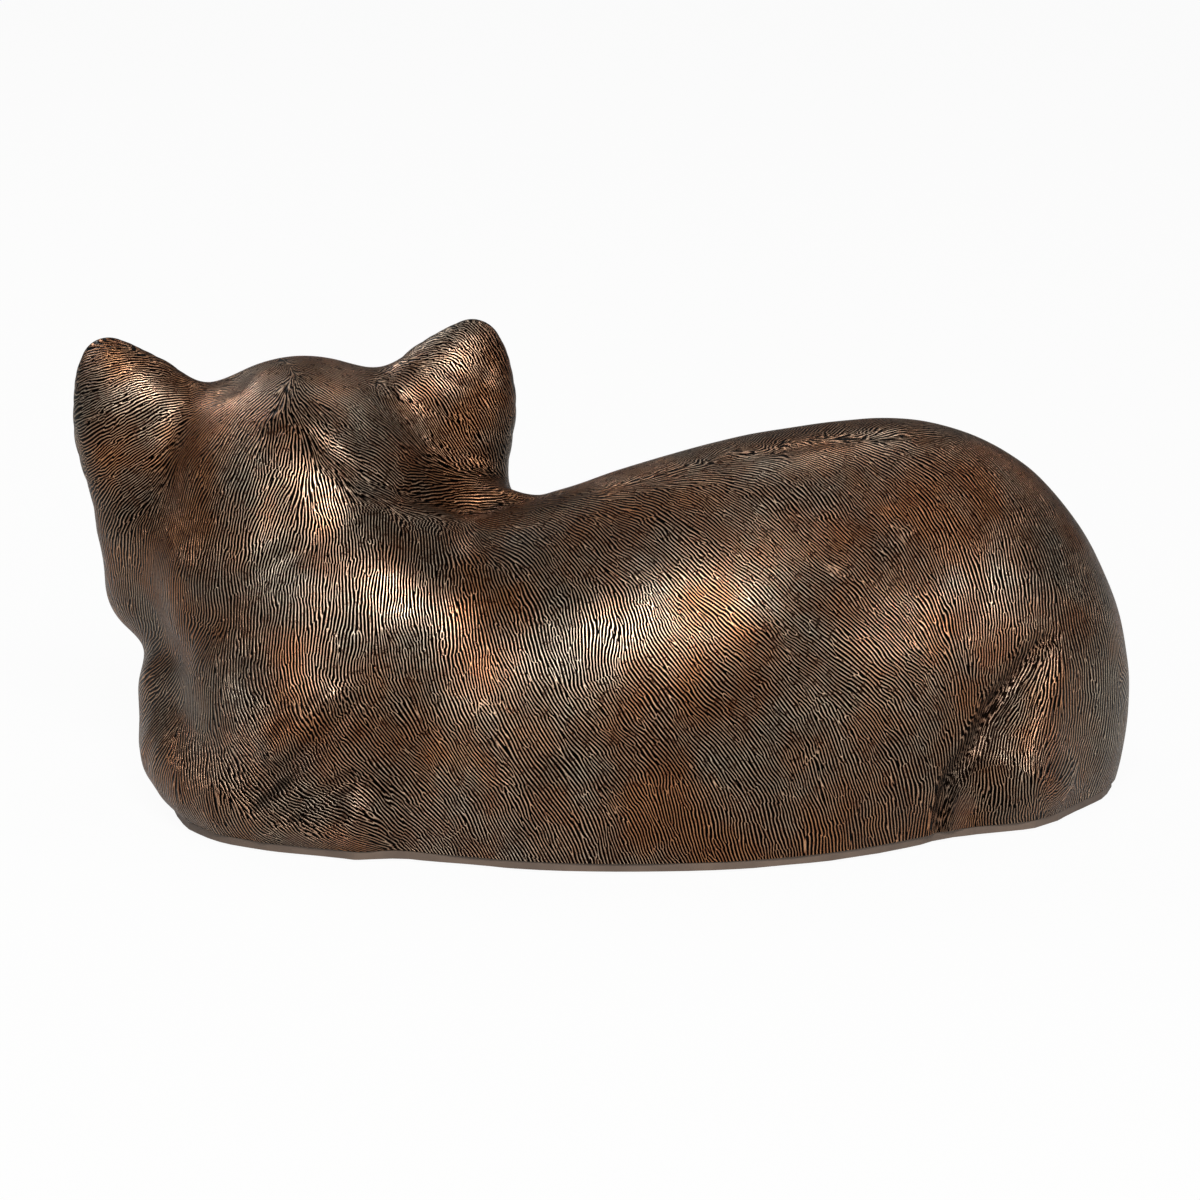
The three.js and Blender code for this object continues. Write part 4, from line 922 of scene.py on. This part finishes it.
def node(tree, kind, inputs=(), **settings):
    """Adds a node; inputs are (socket, value), where a value may be another node or one of its outputs."""
    made = tree.nodes.new("ShaderNode" + kind)
    for name, value in settings.items():
        setattr(made, name, value)
    for socket, value in inputs:
        if isinstance(value, bpy.types.Node):
            value = first_output(value)
        if isinstance(value, bpy.types.NodeSocket):
            tree.links.new(value, made.inputs[socket])
        else:
            made.inputs[socket].default_value = value
    return made


def material(name, colour, roughness, metallic=0.0):
    made = bpy.data.materials.new(name)
    made.use_nodes = True
    shader = made.node_tree.nodes["Principled BSDF"]
    shader.inputs["Base Color"].default_value = linear(colour)
    shader.inputs["Roughness"].default_value = roughness
    shader.inputs["Metallic"].default_value = metallic
    return made, made.node_tree, shader


def bronze_coat():
    """Aged bronze paint on cast resin: brown on the coat, copper where its ridges are rubbed, and matt
    black in the cuts, partly wax and partly painted shade, with painted shade in hollows and beside folds."""
    made, tree, shader = material("Aged bronze paint with painted shade on engraved cast resin", "#4a2c1c", 0.42, 0.3)
    place = node(tree, "TexCoord").outputs["Object"]
    across = node(tree, "Attribute", attribute_name="across").outputs["Vector"]
    hollow, eye, fold, coat, pitch = (node(tree, "Attribute", attribute_name=name).outputs["Fac"]
                                      for name in ("hollow", "eye", "fold", "coat", "pitch"))

    # The strokes wander by a millimetre over 15 mm, and lean to and fro in locks
    sway = node(tree, "TexNoise", [("Vector", place), ("Scale", 60.0), ("Detail", 1.0)])
    clump = node(tree, "TexNoise", [("Vector", place), ("Scale", 75.0), ("Detail", 1.0)])
    centred = node(tree, "VectorMath", [(0, sway.outputs["Color"]), (1, (0.5, 0.5, 0.5))], operation="SUBTRACT")
    bent = node(tree, "VectorMath", [(0, centred), (1, (0.002, 0.002, 0.002)), (2, place)],
                operation="MULTIPLY_ADD")
    uneven = node(tree, "VectorMath", [(0, clump.outputs["Color"]), (1, (0.5, 0.5, 0.5))], operation="SUBTRACT")
    leaning = node(tree, "VectorMath", [(0, uneven), (1, (0.6, 0.6, 0.6)), (2, across)],
                   operation="MULTIPLY_ADD")

    # They are about 1.2 mm apart, closer or wider from place to place, and 15 mm long. Their phase runs
    # evenly from ridge to ridge
    spread = node(tree, "MapRange", [("Value", sway), ("From Min", 0.3), ("From Max", 0.7),
                                     ("To Min", 10.5), ("To Max", 13.4)])
    count = node(tree, "Math", [(0, spread), (1, pitch)], operation="MULTIPLY")
    strokes = node(tree, "TexGabor", [("Vector", bent), ("Scale", 70.0), ("Frequency", count),
                                      ("Anisotropy", 1.0), ("Orientation", leaning)], gabor_type="3D")
    turned = node(tree, "Math", [(0, strokes.outputs["Phase"]), (1, 2.0), (2, -1.0)], operation="MULTIPLY_ADD")
    away = node(tree, "Math", [(0, turned)], operation="ABSOLUTE")
    grain = node(tree, "TexNoise", [("Vector", place), ("Scale", 900.0), ("Detail", 2.0)])
    patch = node(tree, "TexNoise", [("Vector", place), ("Scale", 28.0), ("Detail", 3.0), ("Roughness", 0.6)])
    tuft = node(tree, "TexNoise", [("Vector", place), ("Scale", 420.0), ("Detail", 3.0), ("Roughness", 0.7)])

    # Each cut is wider here and thinner there, and runs out where strokes meet
    press = node(tree, "MapRange", [("Value", tuft), ("From Min", 0.3), ("From Max", 0.7),
                                    ("To Min", -0.11), ("To Max", 0.11)])
    meet = node(tree, "MapRange", [("Value", strokes.outputs["Intensity"]), ("From Min", 0.0), ("From Max", 0.04),
                                   ("To Min", -0.4), ("To Max", 0.0)])
    thinned = node(tree, "Math", [(0, away), (1, meet)], operation="ADD")
    pressed = node(tree, "Math", [(0, thinned), (1, press)], operation="ADD")
    ridge = node(tree, "MapRange", [("Value", pressed), ("From Min", 0.5), ("From Max", 0.31)],
                 interpolation_type="SMOOTHSTEP")
    crest = node(tree, "MapRange", [("Value", pressed), ("From Min", 0.37), ("From Max", 0.12)],
                 interpolation_type="SMOOTHSTEP")

    # Brown ground, redder in patches, with copper on the ridges where the hand rubbed, lock by lock
    warm = node(tree, "MapRange", [("Value", patch), ("From Min", 0.35), ("From Max", 0.65)])
    ground = node(tree, "Mix", [("Factor", warm), ("A", linear("#4a2e19")), ("B", linear("#6e3c1f"))],
                  data_type="RGBA")
    metal = node(tree, "Mix", [("Factor", warm), ("A", linear("#cbbba6")), ("B", linear("#c68f64"))],
                 data_type="RGBA")
    rub = node(tree, "MapRange", [("Value", tuft), ("From Min", 0.36), ("From Max", 0.58),
                                  ("To Min", 0.2), ("To Max", 1.15)])
    furred = node(tree, "MapRange", [("Value", coat), ("From Max", 0.5)])
    shown = node(tree, "Math", [(0, crest), (1, furred)], operation="MULTIPLY")
    lock = node(tree, "MapRange", [("Value", clump), ("From Min", 0.38), ("From Max", 0.62),
                                   ("To Min", 0.75), ("To Max", 1.16)])
    caught = node(tree, "Math", [(0, rub), (1, lock)], operation="MULTIPLY")
    rubbed = node(tree, "Math", [(0, shown), (1, caught)], operation="MULTIPLY", use_clamp=True)
    copper = node(tree, "Mix", [("Factor", rubbed), ("A", ground), ("B", metal)], data_type="RGBA")

    # Near-black in the cuts, partly wax and partly painted shade; painted shade in hollows and beside folds;
    # and darker paint on the eyes and where the coat is cut less
    cut = node(tree, "Math", [(0, 1.0), (1, ridge)], operation="SUBTRACT")
    wax_and_cut_shade = node(tree, "Math", [(0, cut), (1, furred)], operation="MULTIPLY")
    dark = node(tree, "Mix", [("Factor", wax_and_cut_shade), ("A", copper), ("B", linear("#040302"))], data_type="RGBA")
    shade = node(tree, "Math", [(0, hollow), (1, 0.55)], operation="MULTIPLY")
    smooth = node(tree, "MapRange", [("Value", furred), ("From Min", 1.0), ("From Max", 0.0), ("To Max", 0.5)])
    bare_tone_and_fold_shade = node(tree, "Math", [(0, smooth), (1, fold)], operation="MAXIMUM")
    deep = node(tree, "Math", [(0, shade), (1, bare_tone_and_fold_shade)], operation="MAXIMUM")
    shade_and_dark_paint = node(tree, "Math", [(0, deep), (1, eye)], operation="MAXIMUM")
    final = node(tree, "Mix", [("Factor", shade_and_dark_paint), ("A", dark), ("B", linear("#120b07"))], data_type="RGBA")

    # The ridges are round and stand 0.5 mm above the cuts
    height = node(tree, "MapRange", [("Value", pressed), ("From Min", 0.8), ("From Max", 0.15)],
                  interpolation_type="SMOOTHSTEP")
    carved = node(tree, "Math", [(0, height), (1, coat)], operation="MULTIPLY")
    raised = node(tree, "Math", [(0, grain), (1, 0.15), (2, carved)], operation="MULTIPLY_ADD")
    bump = node(tree, "Bump", [("Strength", 1.0), ("Distance", 0.0005), ("Height", raised)])

    # The ridges shine here and there, the eyes most; the cuts' black, partly wax and partly painted shade,
    # and the painted shade of folds are metal so dark that it takes the light
    gloss = node(tree, "MapRange", [("Value", tuft), ("From Min", 0.35), ("From Max", 0.65),
                                    ("To Min", 0.25), ("To Max", 0.45)])
    polished = node(tree, "MapRange", [("Value", eye), ("To Min", 1.0), ("To Max", 0.35)])
    roughness = node(tree, "Math", [(0, gloss), (1, polished)], operation="MULTIPLY")
    lost = node(tree, "Math", [(0, wax_and_cut_shade), (1, fold)], operation="MAXIMUM")
    shine = node(tree, "Math", [(0, rubbed), (1, 0.1), (2, 0.75)], operation="MULTIPLY_ADD")
    leaf = node(tree, "Math", [(0, shine), (1, lost)], operation="MAXIMUM", use_clamp=True)
    for socket, given in (("Base Color", final), ("Normal", bump), ("Roughness", roughness), ("Metallic", leaf)):
        tree.links.new(first_output(given), shader.inputs[socket])
    shader.inputs["Specular IOR Level"].default_value = 1.0
    return made


skin_paint = bronze_coat()
inside_resin = material("Bare cast resin", "#6a5a4e", 0.7)[0]
for obj in (body, head):
    obj.data.materials.clear()
    obj.data.materials.append(skin_paint)
    obj.data.materials.append(inside_resin)
    dress(obj)
    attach(obj, "root")
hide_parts("body_casting")
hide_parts("head_casting")


def plate_paint():
    """Grey-brown paint brushed on the closing plate's rim, satin, with the resin's faint unevenness."""
    made, tree, shader = material("Brushed grey-brown paint on resin plate", "#6b5a4e", 0.5)
    place = node(tree, "TexCoord").outputs["Object"]
    patch = node(tree, "TexNoise", [("Vector", place), ("Scale", 60.0), ("Detail", 3.0)])
    colour = node(tree, "Mix", [("Factor", patch), ("A", linear("#3e322b")), ("B", linear("#705f52"))],
                  data_type="RGBA")
    tree.links.new(first_output(colour), shader.inputs["Base Color"])
    bump = node(tree, "Bump", [("Strength", 0.5), ("Distance", 0.0003), ("Height", patch)])
    tree.links.new(first_output(bump), shader.inputs["Normal"])
    return made


def black_rubber():
    """Moulded black rubber: matte, with a fine grain."""
    made, tree, shader = material("Moulded black rubber", "#1c1b1a", 0.8)
    place = node(tree, "TexCoord").outputs["Object"]
    grain = node(tree, "TexNoise", [("Vector", place), ("Scale", 1500.0)])
    bump = node(tree, "Bump", [("Strength", 0.3), ("Distance", 0.0001), ("Height", grain)])
    tree.links.new(first_output(bump), shader.inputs["Normal"])
    return made


plate_finish = plate_paint()
rubber = black_rubber()
for name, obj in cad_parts.items():
    if name in ("body_casting", "head_casting"):
        continue
    for slot in obj.material_slots:
        slot.material = plate_finish if name == "base_plate" else rubber


def floor_and_walls():
    """A white floor that the camera and the shine see nearly as bright as the walls, with shadows on it."""
    reach = 6
    mesh = bpy.data.meshes.new("studio_floor")
    mesh.from_pydata([(-reach, -reach, 0), (reach, -reach, 0), (reach, reach, 0), (-reach, reach, 0)], [],
                     [(0, 1, 2, 3)])
    floor = bpy.data.objects.new("studio_floor", mesh)
    bpy.context.collection.objects.link(floor)
    made, tree, shader = material("Matte white floor paint", "#bdbdbb", 0.9)
    shader.inputs["Specular IOR Level"].default_value = 0.1
    path = node(tree, "LightPath")
    seen = node(tree, "Math", [(0, path.outputs["Is Camera Ray"]), (1, 0.95)], operation="MULTIPLY")
    share = node(tree, "Math", [(0, path.outputs["Is Glossy Ray"]), (1, 0.18), (2, seen)],
                 operation="MULTIPLY_ADD")
    white = node(tree, "Emission", [("Color", (1, 1, 1, 1)), ("Strength", 1.0)])
    mixed = node(tree, "MixShader", [(0, share), (1, shader), (2, white)])
    tree.links.new(first_output(mixed), tree.nodes["Material Output"].inputs["Surface"])
    mesh.materials.append(made)


def studio_world():
    """White walls as the camera sees them, which light the statue only a little."""
    world = bpy.data.worlds.new("Studio")
    bpy.context.scene.world = world
    world.use_nodes = True
    tree = world.node_tree
    path = node(tree, "LightPath")
    seen = node(tree, "Math", [(0, path.outputs["Is Camera Ray"]), (1, path.outputs["Is Transmission Ray"])],
                operation="MAXIMUM")
    strength = node(tree, "MapRange", [("Value", seen), ("To Min", 0.1), ("To Max", 1.0)])
    walls = tree.nodes["Background"]
    walls.inputs["Color"].default_value = (1, 1, 1, 1)
    tree.links.new(first_output(strength), walls.inputs["Strength"])


def softbox(name, place, aim, width, height, power):
    light = bpy.data.lights.new(name, "AREA")
    light.shape = "RECTANGLE"
    light.size, light.size_y = width, height
    light.energy = power
    obj = bpy.data.objects.new(name, light)
    bpy.context.collection.objects.link(obj)
    obj.location = place
    obj.rotation_euler = (Vector(aim) - Vector(place)).to_track_quat("-Z", "Y").to_euler()
    obj.visible_camera = False


floor_and_walls()
studio_world()
softbox("front_softbox", (0.1, -1.62, 1.62), (0, 0, 0.08), 0.9, 0.6, 51.5)
softbox("left_softbox", (-0.95, -1.42, 1.0), (-0.05, 0, 0.1), 0.5, 0.6, 10)
softbox("right_softbox", (1.5, -1.02, 0.6), (0.05, 0, 0.08), 0.3, 0.4, 8.5)
softbox("back_softbox", (0.35, 0.75, 1.95), (0, 0, 0.1), 0.6, 0.4, 5.5)
softbox("face_softbox", (-1.0, 1.0, 1.25), (-0.08, 0.05, 0.1), 0.6, 0.6, 11)

# The camera stands 1.8 m away and 16 degrees above the ground, and looks at the cat's middle; the shift
# is a share of the picture's width
CAMERA_AWAY, CAMERA_RISE, AIM_HEIGHT = 1.8, math.radians(16), 0.077
camera_data = bpy.data.cameras.new("Camera")
camera_data.lens = 142.9
camera_data.sensor_width = 36
camera_data.shift_x = -1.5 / 1200
camera_data.clip_end = 50
camera = bpy.data.objects.new("Camera", camera_data)
bpy.context.collection.objects.link(camera)
aim = Vector((SHIFT[0] * MM, SHIFT[1] * MM, AIM_HEIGHT))
camera.location = aim + CAMERA_AWAY * Vector((0, -math.cos(CAMERA_RISE), math.sin(CAMERA_RISE)))
camera.rotation_euler = (math.pi / 2 - CAMERA_RISE, 0, 0)
bpy.context.scene.camera = camera
bpy.context.scene.view_settings.view_transform = "Standard"
